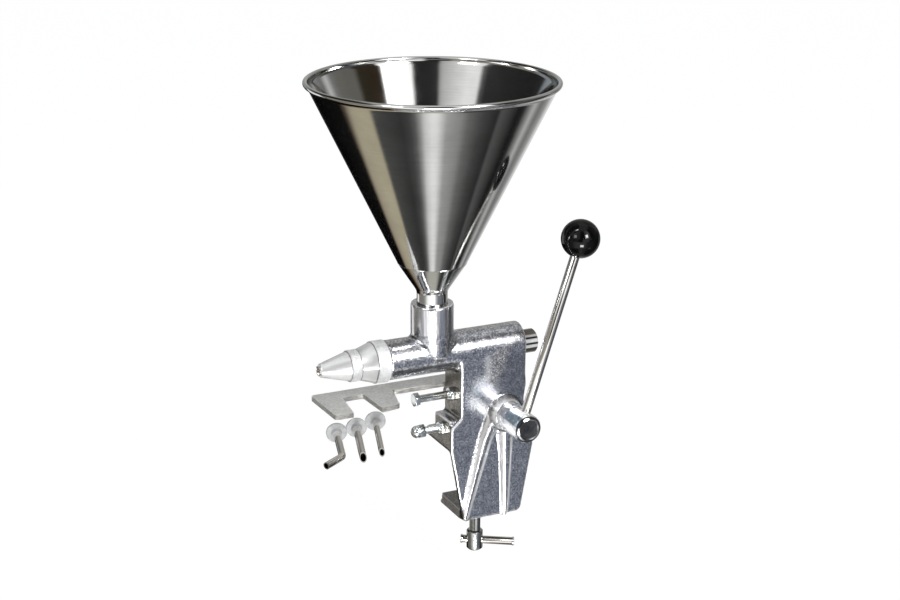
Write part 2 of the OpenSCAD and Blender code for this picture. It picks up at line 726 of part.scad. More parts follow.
module clamp_screw() color("#b4b7ba")
    translate([0, clamp_y, 0]) difference() {
        union() {
            translate([0, 0, clamp_top - eps]) cylinder(d = pad_tip_d, h = pad_tip_len + eps);
            translate([0, 0, -clamp_low - eps]) cylinder(d = clamp_d, h = clamp_top + clamp_low + eps - seat_gap);
            translate([0, 0, -clamp_low - 1.5]) cylinder(d1 = clamp_head_d, d2 = clamp_head_d - 3, h = 1.5);
            translate([0, 0, -clamp_low - clamp_head_len + 1.5])
                cylinder(d = clamp_head_d, h = clamp_head_len - 3);
            translate([0, 0, -clamp_low - clamp_head_len])
                cylinder(d1 = clamp_head_d - 3, d2 = clamp_head_d, h = 1.5);
        }
        translate([0, 0, tommy_z]) rotate([0, 90, clamp_turn])
            cylinder(d = tommy_d + 2 * free_gap, h = 2 * clamp_head_d, center = true);
    }

module tommy_bar() color("#c3c6c8")
    translate([0, clamp_y, tommy_z]) rotate([0, 90, clamp_turn]) translate([0, 0, tommy_slid]) {
        cylinder(d = tommy_d, h = tommy_len, center = true);
        for (s = [-1, 1]) translate([0, 0, s * (tommy_len / 2 - 1)])
            cylinder(d = tommy_d + 1, h = 2, center = true);
    }

// Support fork

fork_screw_d = 6;
fork_screw_z = fork_z - 11;
fork_screw_x = [-22, -9];
fork_lug_t = 6;
fork_lug_h = 19;
fork_end = 3;
prong_root = fork_far - fork_bar;

module fork_outline()
    polygon(concat(
        arc([-fork_front + 4, fork_far - 4], 4, 180, 90, 4),
        [[-fork_end, fork_far], [-fork_end, far_y], [-28, far_y], [-28, prong_root - 3]],
        arc([-fork_front + 87, prong_root + 0.5], 3.5, 270, 180, 4),
        arc([-fork_front + 70, -prong_reach + 7.5], 5, 10, -90, 6),
        arc([-fork_front + 54.5, -prong_reach + 1.5], 1.5, 270, 180, 4),
        arc([-fork_front + 48, prong_root - 3], 3, 0, 90, 4),
        arc([-fork_front + 31, prong_root - 4], 4, 90, 180, 4),
        arc([-fork_front + 20.2, -prong_reach + 1.5], 2, 0, -90, 4),
        arc([-fork_front + 6, -prong_reach + 4], 4, 270, 180, 6)));

module support_fork() color("#a8a8a4")
    difference() {
        union() {
            translate([0, 0, fork_z - fork_t]) linear_extrude(fork_t) fork_outline();
            block([-28, far_y, fork_z - fork_lug_h], [-fork_end, far_y + fork_lug_t, fork_z - eps]);
        }
        for (x = fork_screw_x)
            y_rod(fork_screw_d + 2 * seat_gap, far_y - eps, far_y + fork_lug_t + eps, x, fork_screw_z);
    }

module fork_screws() color("#85898d")
    for (x = fork_screw_x) difference() {
        union() {
            y_rod(fork_screw_d, cavity_y + 0.5, far_y + fork_lug_t + eps, x, fork_screw_z);
            y_rod(10, far_y + fork_lug_t, far_y + fork_lug_t + 6, x, fork_screw_z);
        }
        translate([x, far_y + fork_lug_t + 6.5, fork_screw_z]) rotate([90, 0, 0]) cylinder(d = 5.8, h = 3.5, $fn = 6);
    }

// Filling tubes, lying on the table with flange and tip touching it

hub_tube_len = 5;
tube_back = 2;

// Flange with a short hub, drawn with the tube along +X from the origin
module tube_flange(d) color("#d8dadb")
    difference() {
        rotate([0, 90, 0]) union() {
            translate([0, 0, -flange_t]) cylinder(d = flange_d, h = flange_t);
            cylinder(d1 = d + 4, d2 = d + 2.4, h = hub_tube_len);
        }
        rotate([0, 90, 0]) translate([0, 0, -flange_t - eps])
            cylinder(d = d + 2 * seat_gap, h = flange_t + hub_tube_len + 2 * eps);
    }

module straight_tube(d, len) color("#b9a48f")
    difference() {
        rotate([0, 90, 0]) translate([0, 0, -tube_back]) cylinder(d = d, h = len + tube_back);
        rotate([0, 90, 0]) translate([0, 0, -tube_back - eps])
            cylinder(d = d - 2 * tube_wall, h = len + tube_back + 2 * eps);
        translate([len, 0, -d / 2]) rotate([0, -50, 0]) translate([0, -d, 0]) cube(2 * d);
    }

bend_r = 8;

// Straight, bend towards -Y of the tube's own frame, straight; the straight
// runs are a hair wider and reach a little into the bend
module bent_rod(d, more) {
    run_d = d + 0.04;
    into = 0.3;
    translate([-tube_back - more, 0, 0]) rotate([0, 90, 0])
        cylinder(d = run_d, h = bent_first + tube_back + more + into);
    translate([bent_first, -bend_r, 0]) rotate([0, 0, 90 - bend_turn]) rotate_extrude(angle = bend_turn)
        translate([bend_r, 0]) circle(d = d);
    translate([bent_first + bend_r * sin(bend_turn), -bend_r * (1 - cos(bend_turn)), 0])
        rotate([0, 0, -bend_turn]) translate([-into, 0, 0]) rotate([0, 90, 0])
        cylinder(d = run_d, h = bent_last + more + into);
}

// Placing: flange foot at [x, y], heading in the table's plane, tilt so that
// the far end touches the table too
function tube_tilt(d, len) = asin((flange_d - d) / 2 / (len + flange_t));
module laid(x, y, heading, tilt)
    translate([x, y, 0]) rotate([0, 0, heading]) rotate([0, tilt, 0]) translate([flange_t, 0, flange_d / 2]) children();

bent_place = [-137.3, 61.3, -105.4];
large_place = [-112.9, 65.3, -106.7];
small_place = [-87.3, 74, -107.7];
bent_reach = bent_first + bend_r * sin(bend_turn) + bent_last * cos(bend_turn);
bent_tilt = tube_tilt(bent_d, bent_reach);
large_tilt = tube_tilt(large_d, large_len);
small_tilt = tube_tilt(small_d, small_len);

module bent_filling_tube() color("#b9a48f")
    laid(bent_place[0], bent_place[1], bent_place[2], bent_tilt) difference() {
        bent_rod(bent_d, 0);
        bent_rod(bent_d - 2 * tube_wall, eps);
    }
module bent_tube_flange() laid(bent_place[0], bent_place[1], bent_place[2], bent_tilt) tube_flange(bent_d);
module large_filling_tube() laid(large_place[0], large_place[1], large_place[2], large_tilt) straight_tube(large_d, large_len);
module large_tube_flange() laid(large_place[0], large_place[1], large_place[2], large_tilt) tube_flange(large_d);
module small_filling_tube() laid(small_place[0], small_place[1], small_place[2], small_tilt) straight_tube(small_d, small_len);
module small_tube_flange() laid(small_place[0], small_place[1], small_place[2], small_tilt) tube_flange(small_d);

main_casting();
front_bush();
rear_bush();
hopper_cone();
hopper_funnel();
hopper_gasket();
piston();
piston_pin();
piston_seals();
union_nut();
nozzle();
outlet_tube();
nozzle_gasket();
lever_shaft();
shaft_ring();
drive_arm();
arm_key();
arm_set_screw();
lever_hub();
hub_set_screws();
hub_cap();
lever_rod();
ball_knob();
upper_stop_bolt();
upper_lock_nut();
lower_stop_stud();
acorn_nut();
lower_lock_nut();
support_fork();
fork_screws();
pressure_pad();
clamp_screw();
tommy_bar();
bent_filling_tube();
bent_tube_flange();
large_filling_tube();
large_tube_flange();
small_filling_tube();
small_tube_flange();
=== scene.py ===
"""Pastry filling machine: the dressed model of the hand-operated filler, in
metres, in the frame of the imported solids."""

import json
import math

import bmesh
import bpy
from mathutils import Matrix, Vector


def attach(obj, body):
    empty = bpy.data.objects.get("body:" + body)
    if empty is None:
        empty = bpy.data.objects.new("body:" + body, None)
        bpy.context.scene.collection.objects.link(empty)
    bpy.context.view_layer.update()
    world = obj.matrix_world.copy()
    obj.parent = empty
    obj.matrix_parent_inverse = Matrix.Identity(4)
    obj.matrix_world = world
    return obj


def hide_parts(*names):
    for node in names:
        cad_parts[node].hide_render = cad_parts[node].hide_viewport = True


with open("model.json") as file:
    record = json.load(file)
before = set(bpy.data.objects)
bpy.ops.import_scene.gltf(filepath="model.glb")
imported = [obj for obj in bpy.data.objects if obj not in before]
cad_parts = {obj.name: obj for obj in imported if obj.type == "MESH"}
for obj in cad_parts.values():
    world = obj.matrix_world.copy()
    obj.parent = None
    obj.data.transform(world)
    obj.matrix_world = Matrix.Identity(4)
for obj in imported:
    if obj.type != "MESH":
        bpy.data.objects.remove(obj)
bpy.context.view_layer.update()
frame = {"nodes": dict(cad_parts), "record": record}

MM = 0.001
SLOT_OF = {part["node"]: part["material_slot"] for part in frame["record"]["subparts"]}
BODY_OF = {node: body for body, nodes in frame["record"]["behaviour"]["bodies"].items() for node in nodes}

# Main places of the machine, in millimetres
HOPPER_X = -55.0
BARREL_Z = 106.0
BARREL_R = 20.5
BARREL_FRONT = -108.8
SPIGOT_R = 18.0
PUMP_Z = 103.2
BORE_R = 12.55
NECK_R = 22.0
NECK_LOW = 131.0
NUT_R = 21.8
NUT_SHOULDER = -122.7
NUT_FRONT = -138.3
NUT_FLATS = 38.0
NOZZLE_R = 16.25
NOZZLE_SHOULDER = -149.05
TIP_X = -179.05
TIP_R = 6.7
SHAFT_X = 19.0
SHAFT_Z = 36.0
CLAMP_Y = 8.0
LEVER_LEAN = math.radians(18.25)
LEVER_Y = -59.0
BALL_UP = 201.0
WHITE = (1, 1, 1, 1)


# Camera

CAMERA_PLACE = (-0.78464, -1.55483, 0.72462)
CAMERA_AZIMUTH = math.radians(-25.74)
CAMERA_ELEVATION = math.radians(18.10)
CAMERA_ROLL = math.radians(0.33)
LENS = 71.32


def add_camera():
    """The camera of the photograph's view."""
    a, e, r = CAMERA_AZIMUTH, CAMERA_ELEVATION, CAMERA_ROLL
    back = Vector((math.sin(a) * math.cos(e), -math.cos(a) * math.cos(e), math.sin(e)))
    level = Vector((math.cos(a), math.sin(a), 0))
    upward = back.cross(level)
    right = level * math.cos(r) + upward * math.sin(r)
    up = upward * math.cos(r) - level * math.sin(r)
    turn = Matrix((right, up, back)).transposed().to_4x4()
    camera = bpy.data.objects.new("camera", bpy.data.cameras.new("camera"))
    camera.matrix_world = Matrix.Translation(CAMERA_PLACE) @ turn
    camera.data.lens = LENS
    camera.data.sensor_width = 36
    camera.data.clip_end = 50
    bpy.context.scene.collection.objects.link(camera)
    bpy.context.scene.camera = camera
    bpy.context.scene.view_settings.view_transform = "Standard"


# Node helpers

class Graph:
    """Short way of writing a node tree."""

    def __init__(self, tree):
        self.tree = tree
        tree.nodes.clear()

    def add(self, kind, settings=None, **values):
        """New node; the values go to the inputs of these names."""
        node = self.tree.nodes.new("ShaderNode" + kind)
        for key, value in (settings or {}).items():
            setattr(node, key, value)
        for key, value in values.items():
            self.put(node, key.replace("_", " "), value)
        return node

    def put(self, node, key, value):
        """Sets or links an input, given by its name or number."""
        socket = node.inputs[int(key)] if key.isdigit() else node.inputs[key]
        if isinstance(value, bpy.types.NodeSocket):
            self.tree.links.new(value, socket)
        else:
            socket.default_value = value

    def math(self, operation, a, b=0.0, clamp=False):
        node = self.add("Math", {"operation": operation, "use_clamp": clamp})
        self.put(node, "0", a)
        self.put(node, "1", b)
        return node.outputs[0]

    def ramp(self, value, stops):
        """Colour ramp; each stop is a place from 0 to 1 and a grey or a colour."""
        node = self.add("ValToRGB", Fac=value)
        ramp = node.color_ramp
        ramp.interpolation = "LINEAR"
        while len(ramp.elements) < len(stops):
            ramp.elements.new(0.5)
        for element, (place, tone) in zip(ramp.elements, stops):
            element.position = place
            tone = (tone, tone, tone) if isinstance(tone, (int, float)) else tone
            element.color = (*tone, 1)
        return node.outputs["Color"]

    def step(self, value, low, high):
        """0 below low, 1 above high, smooth between."""
        node = self.add("MapRange", {"interpolation_type": "SMOOTHSTEP"}, Value=value,
                        From_Min=low, From_Max=high, To_Min=0.0, To_Max=1.0)
        return node.outputs[0]

    def window(self, value, low, high, soft):
        """1 between low and high, 0 outside, with soft borders."""
        rise = self.step(value, low - soft, low + soft)
        fall = self.step(value, high - soft, high + soft)
        return self.math("SUBTRACT", rise, fall, clamp=True)

    def mix(self, fac, a, b):
        """Mix of two colours."""
        node = self.add("Mix", {"data_type": "RGBA"})
        self.put(node, "0", fac)
        self.put(node, "6", a)
        self.put(node, "7", b)
        return node.outputs[2]

    def choose(self, fac, first, second):
        """Mix of two shaders."""
        node = self.add("MixShader", Fac=fac)
        self.put(node, "1", first.outputs[0])
        self.put(node, "2", second.outputs[0])
        return node


# Studio

# Floor, below the clamp screw's lowest place, and lamps, in metres
FLOOR_Z = -0.1535
FLOOR_SIZE = 6
LAMP_AWAY = 2.9
LAMP_TARGET = (-0.02, 0, 0.13)


def around(degrees):
    """Place on a ramp that runs once round, from -180 to 180 degrees."""
    return degrees / 360 + 0.5


# What polished metal sees around it, from the ground to the ceiling, by the
# angle round the machine, counted from the camera's side, positive to its right
BEHIND_RIGHT = [(112, 0.008), (118, 0.02), (124, 0.20), (131, 0.50), (136, 0.30), (141, 0.18),
                (152, 0.34), (162, 0.68), (178, 0.80)]
DEEP_BANDS = [(-180, 0.03), (-162, 0.001), (-133, 0.003), (-128, (0.10, 0.06, 0.035)),
              (-122, (0.27, 0.22, 0.165)), (-110, (0.40, 0.355, 0.26)), (-98, (0.45, 0.41, 0.30)),
              (-84, (0.45, 0.41, 0.30)), (-80, 0.07), (-46, 0.035), (-34, 0.06), (-26, 0.12),
              (-19, 0.32), (-12, 0.68), (0, 0.90), (8, 0.86), (22, 0.38), (42, 0.28), (52, 0.15),
              (70, 0.06), (88, 0.02), (90.5, 0.10)] + BEHIND_RIGHT
LOW_BANDS = [(-180, 0.03), (-166, 0.03), (-160, 0.001), (-118, 0.003), (-110, (0.13, 0.10, 0.075)),
             (-101, (0.26, 0.24, 0.20)), (-90, (0.22, 0.21, 0.19)), (-64, (0.25, 0.245, 0.235)),
             (-50, 0.45), (-37, 1.0), (-22, 1.3), (20, 1.3), (28, 0.65), (38, 0.42),
             (44, (0.20, 0.22, 0.27)), (64, (0.18, 0.20, 0.245)), (80, 0.12),
             (92, 0.05)] + BEHIND_RIGHT
LEVEL_BANDS = [(-180, (0.42, 0.42, 0.40)), (-160, (0.30, 0.32, 0.34)), (-122, (0.22, 0.25, 0.28)),
               (-108, 0.12), (-102, (0.27, 0.255, 0.225)), (-50, (0.30, 0.285, 0.25)),
               (-20, (0.40, 0.38, 0.34)), (-13, 0.02), (6, 0.02), (12, 1.2), (43, 1.1),
               (50, (0.07, 0.08, 0.10)), (100, (0.07, 0.08, 0.10)), (120, 0.05), (150, 0.25),
               (179, (0.42, 0.42, 0.40))]
HIGH_BANDS = [(-180, (0.42, 0.42, 0.39)), (-150, 0.22), (-136, 0.02), (-118, 0.015), (-62, 0.03),
              (-56, 0.10), (-52, 0.95), (-40, 0.95), (-24, 0.72), (-12, 0.55), (-8, 0.42),
              (-5, 0.025), (22, 0.015), (25, 1.3), (56, 1.3), (60, (0.03, 0.02, 0.012)),
              (84, (0.03, 0.025, 0.015)), (90, (0.14, 0.135, 0.12)), (112, (0.15, 0.145, 0.13)),
              (120, 0.20), (128, 0.55), (136, 0.22), (152, 0.30), (179, (0.42, 0.42, 0.39))]
CEILING = (0.62, 0.63, 0.64)
NADIR = (0.46, 0.455, 0.41)
# Elevations, in degrees, between which one band goes over into the next
DEEP_TO_LOW = (-45, -41)
LOW_TO_LEVEL = (-8, -3)
LEVEL_TO_HIGH = (10, 13)
HIGH_TO_CEILING = (50, 66)
DEEP_TO_NADIR = (-73, -79)

# Small patches seen in polished metal: angle round the machine and its half
# width, elevation and its half height, and the tone
PATCHES = [(-127, 14, -11, 13, 0.95), (56, 9, 5, 2.5, 0.9), (60, 10, -41, 4, 1.0),
           (49, 9, 39, 9, 2.4), (5, 10, -28, 6.5, 32.0), (37, 7.5, 27, 7.5, 34.0)]
PATCH_BORDER = 1.2


def studio_look(g):
    """Brightness that a polished surface sees in each direction."""
    direction = g.add("TexCoord").outputs["Generated"]
    turned = g.add("VectorRotate", {"rotation_type": "Z_AXIS"}, Vector=direction, Angle=-CAMERA_AZIMUTH)
    xyz = g.add("SeparateXYZ", Vector=turned.outputs[0])
    angle = g.math("ARCTAN2", xyz.outputs["X"], g.math("MULTIPLY", xyz.outputs["Y"], -1.0))
    place = g.math("ADD", g.math("DIVIDE", angle, 2 * math.pi), 0.5)
    rise = g.math("MULTIPLY", g.math("ARCSINE", xyz.outputs["Z"]), 180 / math.pi)
    rings = [g.ramp(place, [(around(a), t) for a, t in bands])
             for bands in (DEEP_BANDS, LOW_BANDS, LEVEL_BANDS, HIGH_BANDS)]
    look = g.mix(g.step(rise, *DEEP_TO_LOW), rings[0], rings[1])
    look = g.mix(g.step(rise, *LOW_TO_LEVEL), look, rings[2])
    look = g.mix(g.step(rise, *LEVEL_TO_HIGH), look, rings[3])
    look = g.mix(g.step(rise, *HIGH_TO_CEILING), look, (*CEILING, 1))
    look = g.mix(g.step(rise, *DEEP_TO_NADIR), look, (*NADIR, 1))
    degrees = g.math("MULTIPLY", angle, 180 / math.pi)
    for middle, half, lift, half_lift, bright in PATCHES:
        across = g.window(degrees, middle - half, middle + half, PATCH_BORDER)
        upright = g.window(rise, lift - half_lift, lift + half_lift, PATCH_BORDER)
        both = g.math("MULTIPLY", across, upright)
        look = g.mix(both, look, (bright, bright, bright, 1))
    return look


def add_studio():
    """White surroundings for the camera, even light for diffuse surfaces and
    the studio's soft boxes and dark screens for polished ones."""
    world = bpy.data.worlds.new("studio")
    bpy.context.scene.world = world
    world.use_nodes = True
    g = Graph(world.node_tree)
    path = g.add("LightPath")
    shown = g.add("Background", Color=WHITE, Strength=1.0)
    even = g.add("Background", Color=(0.97, 0.98, 1.0, 1), Strength=0.62)
    seen = g.add("Background", Strength=1.0)
    g.put(seen, "Color", studio_look(g))
    lit = g.choose(path.outputs["Is Glossy Ray"], even, seen)
    final = g.choose(path.outputs["Is Camera Ray"], lit, shown)
    out = g.add("OutputWorld")
    g.put(out, "Surface", final.outputs[0])

    add_floor()
    add_lamp("right lamp", around_machine(36, 27), size=0.85, power=26)
    add_lamp("left lamp", around_machine(-36, 30), size=0.75, power=13)


def add_floor():
    """Level ground under the machine."""
    bm = bmesh.new()
    bmesh.ops.create_grid(bm, x_segments=2, y_segments=2, size=FLOOR_SIZE)
    bmesh.ops.translate(bm, vec=(0, 0, FLOOR_Z), verts=bm.verts)
    mesh = bpy.data.meshes.new("floor")
    bm.to_mesh(mesh)
    bm.free()
    floor = bpy.data.objects.new("floor", mesh)
    bpy.context.scene.collection.objects.link(floor)
    mesh.materials.append(floor_material())


def floor_material():
    """Pale floor: white to the camera, with the object's faint shadow."""
    material = bpy.data.materials.new("pale floor")
    material.use_nodes = True
    g = Graph(material.node_tree)
    path = g.add("LightPath")
    matt = g.add("BsdfDiffuse", Color=(0.95, 0.95, 0.95, 1))
    glow = g.add("Emission", Color=WHITE, Strength=1.05)
    pale = g.choose(0.88, matt, glow)
    clear = g.add("BsdfTransparent")
    final = g.choose(path.outputs["Is Glossy Ray"], pale, clear)
    out = g.add("OutputMaterial")
    g.put(out, "Surface", final.outputs[0])
    return material


def around_machine(angle, rise):
    """Lamp's place, seen at an angle round the machine, from the camera's
    side, and an elevation."""
    turn = math.radians(angle) + CAMERA_AZIMUTH
    rise = math.radians(rise)
    level = LAMP_AWAY * math.cos(rise)
    return (level * math.sin(turn), -level * math.cos(turn), LAMP_AWAY * math.sin(rise))


def add_lamp(name, place, size, power):
    """Square soft box that looks at the middle of the machine."""
    light = bpy.data.lights.new(name, "AREA")
    light.size = size
    light.energy = power
    lamp = bpy.data.objects.new(name, light)
    lamp.location = place
    lamp.rotation_euler = (Vector(LAMP_TARGET) - Vector(place)).to_track_quat("-Z", "Y").to_euler()
    bpy.context.scene.collection.objects.link(lamp)


# Materials

def principled(name):
    """New material with its graph and its shader."""
    material = bpy.data.materials.new(name)
    material.use_nodes = True
    g = Graph(material.node_tree)
    shader = g.add("BsdfPrincipled")
    out = g.add("OutputMaterial")
    g.put(out, "Surface", shader.outputs[0])
    return material, g, shader


def place_of(g):
    """Object coordinates, one by one."""
    return g.add("SeparateXYZ", Vector=g.add("TexCoord").outputs["Object"]).outputs


def painted(g, name):
    """An amount that the mesh carries."""
    return g.add("Attribute", {"attribute_name": name}).outputs["Fac"]


def set_roughness(g, shader, noise, low, high):
    """Roughness that goes from low to high with the noise."""
    uneven = g.add("MapRange", Value=noise, From_Min=0.3, From_Max=0.7, To_Min=low, To_Max=high)
    g.put(shader, "Roughness", uneven.outputs[0])


def set_bump(g, shader, height, strength, depth):
    """Fine relief; depth in metres."""
    raised = g.add("Bump", Height=height, Strength=strength, Distance=depth)
    g.put(shader, "Normal", raised.outputs[0])


def grain(g, scale, stretch=(1, 1, 1), detail=3.0, rough=0.55, turn=(0, 0, 0)):
    """Noise on object coordinates, turned and then stretched by the given
    factors; scale is in waves per metre."""
    place = g.add("TexCoord").outputs["Object"]
    if any(turn):
        place = g.add("Mapping", Vector=place, Rotation=turn).outputs[0]
    mapping = g.add("Mapping", Vector=place, Scale=stretch)
    noise = g.add("TexNoise", Vector=mapping.outputs[0], Scale=scale, Detail=detail, Roughness=rough)
    return noise.outputs["Fac"]


def metal(name, tone, dark, roughness, blotch, lines, line_scale, bump=0, metallic=1.0, turn=(0, 0, 0)):
    """Metal with two tones in blotches, worked lines along one direction, and
    a little unevenness. blotch is waves per metre, lines the stretch of the
    lines and turn their direction, bump their depth in metres."""
    material, g, shader = principled(name)
    patches = grain(g, blotch)
    worked = grain(g, line_scale, lines, detail=4.0, rough=0.6, turn=turn)
    both = g.math("ADD", g.math("MULTIPLY", patches, 0.6), g.math("MULTIPLY", worked, 0.4))
    g.put(shader, "Base Color", g.ramp(both, [(0.36, dark), (0.60, tone)]))
    shader.inputs["Metallic"].default_value = metallic
    set_roughness(g, shader, both, *roughness)
    if bump:
        set_bump(g, shader, worked, 0.6, bump)
    return material


def cast_metal():
    """Tumbled casting: blue-grey, mottled, sparkling, with a finely turned neck;
    painted highlights on its worn edges and along streaks, nearly black places
    of painted shade, and front walls darkened brown as painted shade."""
    material, g, shader = principled("tumbled casting")
    blotches = grain(g, 150)
    speckle = grain(g, 540, rough=0.75)
    both = g.math("ADD", g.math("MULTIPLY", blotches, 0.28), g.math("MULTIPLY", speckle, 0.72))
    open_face = g.ramp(both, [(0.39, (0.24, 0.25, 0.29)), (0.50, (0.56, 0.57, 0.61)),
                              (0.60, (0.97, 0.97, 0.98))])
    # Tones of painted shade: brown for the front walls, nearly black for the shaded places
    wall_shade = g.ramp(both, [(0.36, (0.11, 0.10, 0.085)), (0.64, (0.30, 0.28, 0.25))])
    dark = g.ramp(both, [(0.40, (0.012, 0.010, 0.008)), (0.66, (0.10, 0.085, 0.07))])
    strokes = grain(g, 1.0, (700, 700, 14), detail=4.0)
    neck = g.ramp(strokes, [(0.34, (0.50, 0.50, 0.54)), (0.62, (0.86, 0.86, 0.89))])
    turned = painted(g, "turned")
    # Painted highlight: worn edges and streaks turn pale and less metallic
    wear_and_highlight = painted(g, "wear_and_highlight")
    # Painted shade: the front walls turn brown
    colour = g.mix(painted(g, "walls"), g.mix(turned, open_face, neck), wall_shade)
    # Painted shade: nearly black where the mesh is shaded
    colour = g.mix(painted(g, "shaded"), colour, dark)
    g.put(shader, "Base Color", g.mix(wear_and_highlight, colour, (0.95, 0.95, 0.96, 1)))
    g.put(shader, "Metallic", g.math("SUBTRACT", 0.96, g.math("MULTIPLY", wear_and_highlight, 0.45)))
    set_roughness(g, shader, both, 0.24, 0.13)
    strength = g.math("SUBTRACT", 0.4, g.math("MULTIPLY", turned, 0.34))
    set_bump(g, shader, speckle, strength, 0.0004)
    return material


def nozzle_aluminium():
    """Turned aluminium: bright cones, and frosted rings with a fine grain."""
    material, g, shader = principled("turned aluminium")
    along = g.math("MULTIPLY", place_of(g)["X"], 1 / MM)
    nut_cone = g.window(along, NUT_FRONT + 0.3, NUT_SHOULDER - 0.1, 0.15)
    tip_cone = g.window(along, TIP_X - 1, NOZZLE_SHOULDER - 0.1, 0.15)
    cone = g.math("ADD", nut_cone, tip_cone)
    fine = grain(g, 2.4, (500, 90, 90))
    frost = grain(g, 520, detail=2.0)
    bright = g.ramp(fine, [(0.35, (0.90, 0.90, 0.895)), (0.65, (0.98, 0.98, 0.975))])
    frosted = g.ramp(frost, [(0.36, (0.78, 0.79, 0.79)), (0.64, (0.95, 0.95, 0.945))])
    toned = g.mix(cone, frosted, bright)
    seams = ((BARREL_FRONT - 0.2, 0.35), (NUT_SHOULDER, 0.35), (NUT_FRONT, 0.4), (NOZZLE_SHOULDER, 0.3))
    for edge, half in seams:
        seam = g.window(along, edge - half, edge + half, 0.2)
        toned = g.mix(seam, toned, (0.22, 0.21, 0.20, 1))
    g.put(shader, "Base Color", toned)
    g.put(shader, "Metallic", g.math("ADD", 0.38, g.math("MULTIPLY", cone, 0.12)))
    g.put(shader, "Roughness", g.math("SUBTRACT", 0.42, g.math("MULTIPLY", cone, 0.22)))
    set_bump(g, shader, frost, 0.15, 0.0002)
    return material


# Painted reflections round the piston's end: tones by the angle from -Y towards the top
PISTON_REFLECTIONS = [(-180, 0.30), (-60, 0.10), (-18, (0.09, 0.085, 0.06)), (-15, 0.92), (-2, 0.95),
                (0.5, (0.05, 0.035, 0.03)), (8, 0.03), (11, 0.95), (26, 0.95), (29, 0.03),
                (36, 0.03), (39, 0.90), (47, 0.80), (51, (0.17, 0.15, 0.12)),
                (88, (0.12, 0.11, 0.09)), (130, 0.25), (179, 0.30)]


def piston_steel():
    """Polished piston rod with painted reflections in lengthwise light and dark bands."""
    material, g, shader = principled("piston steel with painted reflections")
    place = place_of(g)
    above = g.math("SUBTRACT", place["Z"], PUMP_Z * MM)
    angle = g.math("ARCTAN2", above, g.math("MULTIPLY", place["Y"], -1.0))
    turn = g.math("MULTIPLY", angle, 1 / math.pi / 2)
    stops = [(around(degrees), tone) for degrees, tone in PISTON_REFLECTIONS]
    g.put(shader, "Base Color", g.ramp(g.math("ADD", turn, 0.5), stops))
    shader.inputs["Metallic"].default_value = 0.45
    shader.inputs["Roughness"].default_value = 0.16
    return material


def fork_metal():
    """Matt cast fork: light on its flat faces, its sides darker as painted shade, with fine strokes."""
    material, g, shader = principled("matt fork casting")
    facing = g.add("SeparateXYZ", Vector=g.add("TexCoord").outputs["Normal"]).outputs["Z"]
    side = g.step(g.math("ABSOLUTE", facing), 0.75, 0.45)
    cloud = grain(g, 420)
    strokes = grain(g, 2.4, (60, 60, 900))
    flat = g.ramp(cloud, [(0.34, (0.66, 0.66, 0.645)), (0.66, (0.86, 0.86, 0.84))])
    edge = g.ramp(strokes, [(0.38, (0.20, 0.195, 0.18)), (0.62, (0.50, 0.49, 0.46))])
    # Painted shade: faces turned to the side take the darker, stroked tone
    g.put(shader, "Base Color", g.mix(side, flat, edge))
    shader.inputs["Metallic"].default_value = 0.55
    set_roughness(g, shader, cloud, 0.42, 0.6)
    set_bump(g, shader, grain(g, 1500, detail=1.5), 0.5, 0.0004)
    return material


# Hub: angles of the painted reflection's darker strip and of the underside's painted shade,
# counted from upright to the left, and where the groove's painted shade starts and ends, in millimetres
HUB_REFLECTION_STRIP = (27, 71)
HUB_UNDERSIDE_SHADE = (126, 160)
HUB_GROOVE = (45.0, 46.0)


def hub_steel():
    """Bright turned steel with a painted reflection, a bluer, darker strip along its upper front, and painted
    shade on its underside and in its groove.
    """
    material, g, shader = principled("bright hub steel")
    place = place_of(g)
    across = g.math("SUBTRACT", SHAFT_X * MM, place["X"])
    above = g.math("SUBTRACT", place["Z"], SHAFT_Z * MM)
    turn = g.math("MULTIPLY", g.math("ARCTAN2", across, above), 180 / math.pi)
    # Painted reflection: the darker strip, blue in front of the groove and grey behind it
    reflection_strip = g.window(turn, *HUB_REFLECTION_STRIP, 2.5)
    foot = g.window(turn, *HUB_UNDERSIDE_SHADE, 5)
    along = g.math("MULTIPLY", place["Y"], -1 / MM)
    front = g.step(along, HUB_GROOVE[1], HUB_GROOVE[1] + 1)
    groove = g.window(along, *HUB_GROOVE, 0.25)
    cloud = grain(g, 160, detail=2.0)
    light = g.ramp(cloud, [(0.35, (0.88, 0.89, 0.91)), (0.65, (0.96, 0.965, 0.97))])
    blue = g.ramp(cloud, [(0.35, (0.22, 0.29, 0.35)), (0.65, (0.31, 0.38, 0.44))])
    grey = g.ramp(cloud, [(0.35, (0.42, 0.43, 0.47)), (0.65, (0.56, 0.57, 0.61))])
    colour = g.mix(reflection_strip, light, g.mix(front, grey, blue))
    # Painted shade on the underside and in the groove
    colour = g.mix(foot, colour, (0.16, 0.17, 0.19, 1))
    g.put(shader, "Base Color", g.mix(groove, colour, (0.10, 0.10, 0.11, 1)))
    shader.inputs["Metallic"].default_value = 0.62
    set_roughness(g, shader, cloud, 0.20, 0.30)
    return material


def plastic(name, tone, light, roughness, coat=0.0, shine=0.5):
    """Moulded plastic or rubber with a slightly uneven gloss."""
    material, g, shader = principled(name)
    patches = grain(g, 90, detail=4.0)
    g.put(shader, "Base Color", g.ramp(patches, [(0.35, tone), (0.7, light)]))
    set_roughness(g, shader, patches, *roughness)
    shader.inputs["Coat Weight"].default_value = coat
    shader.inputs["Coat Roughness"].default_value = 0.04
    shader.inputs["Specular IOR Level"].default_value = shine
    set_bump(g, shader, grain(g, 700), 0.08, 0.0002)
    return material


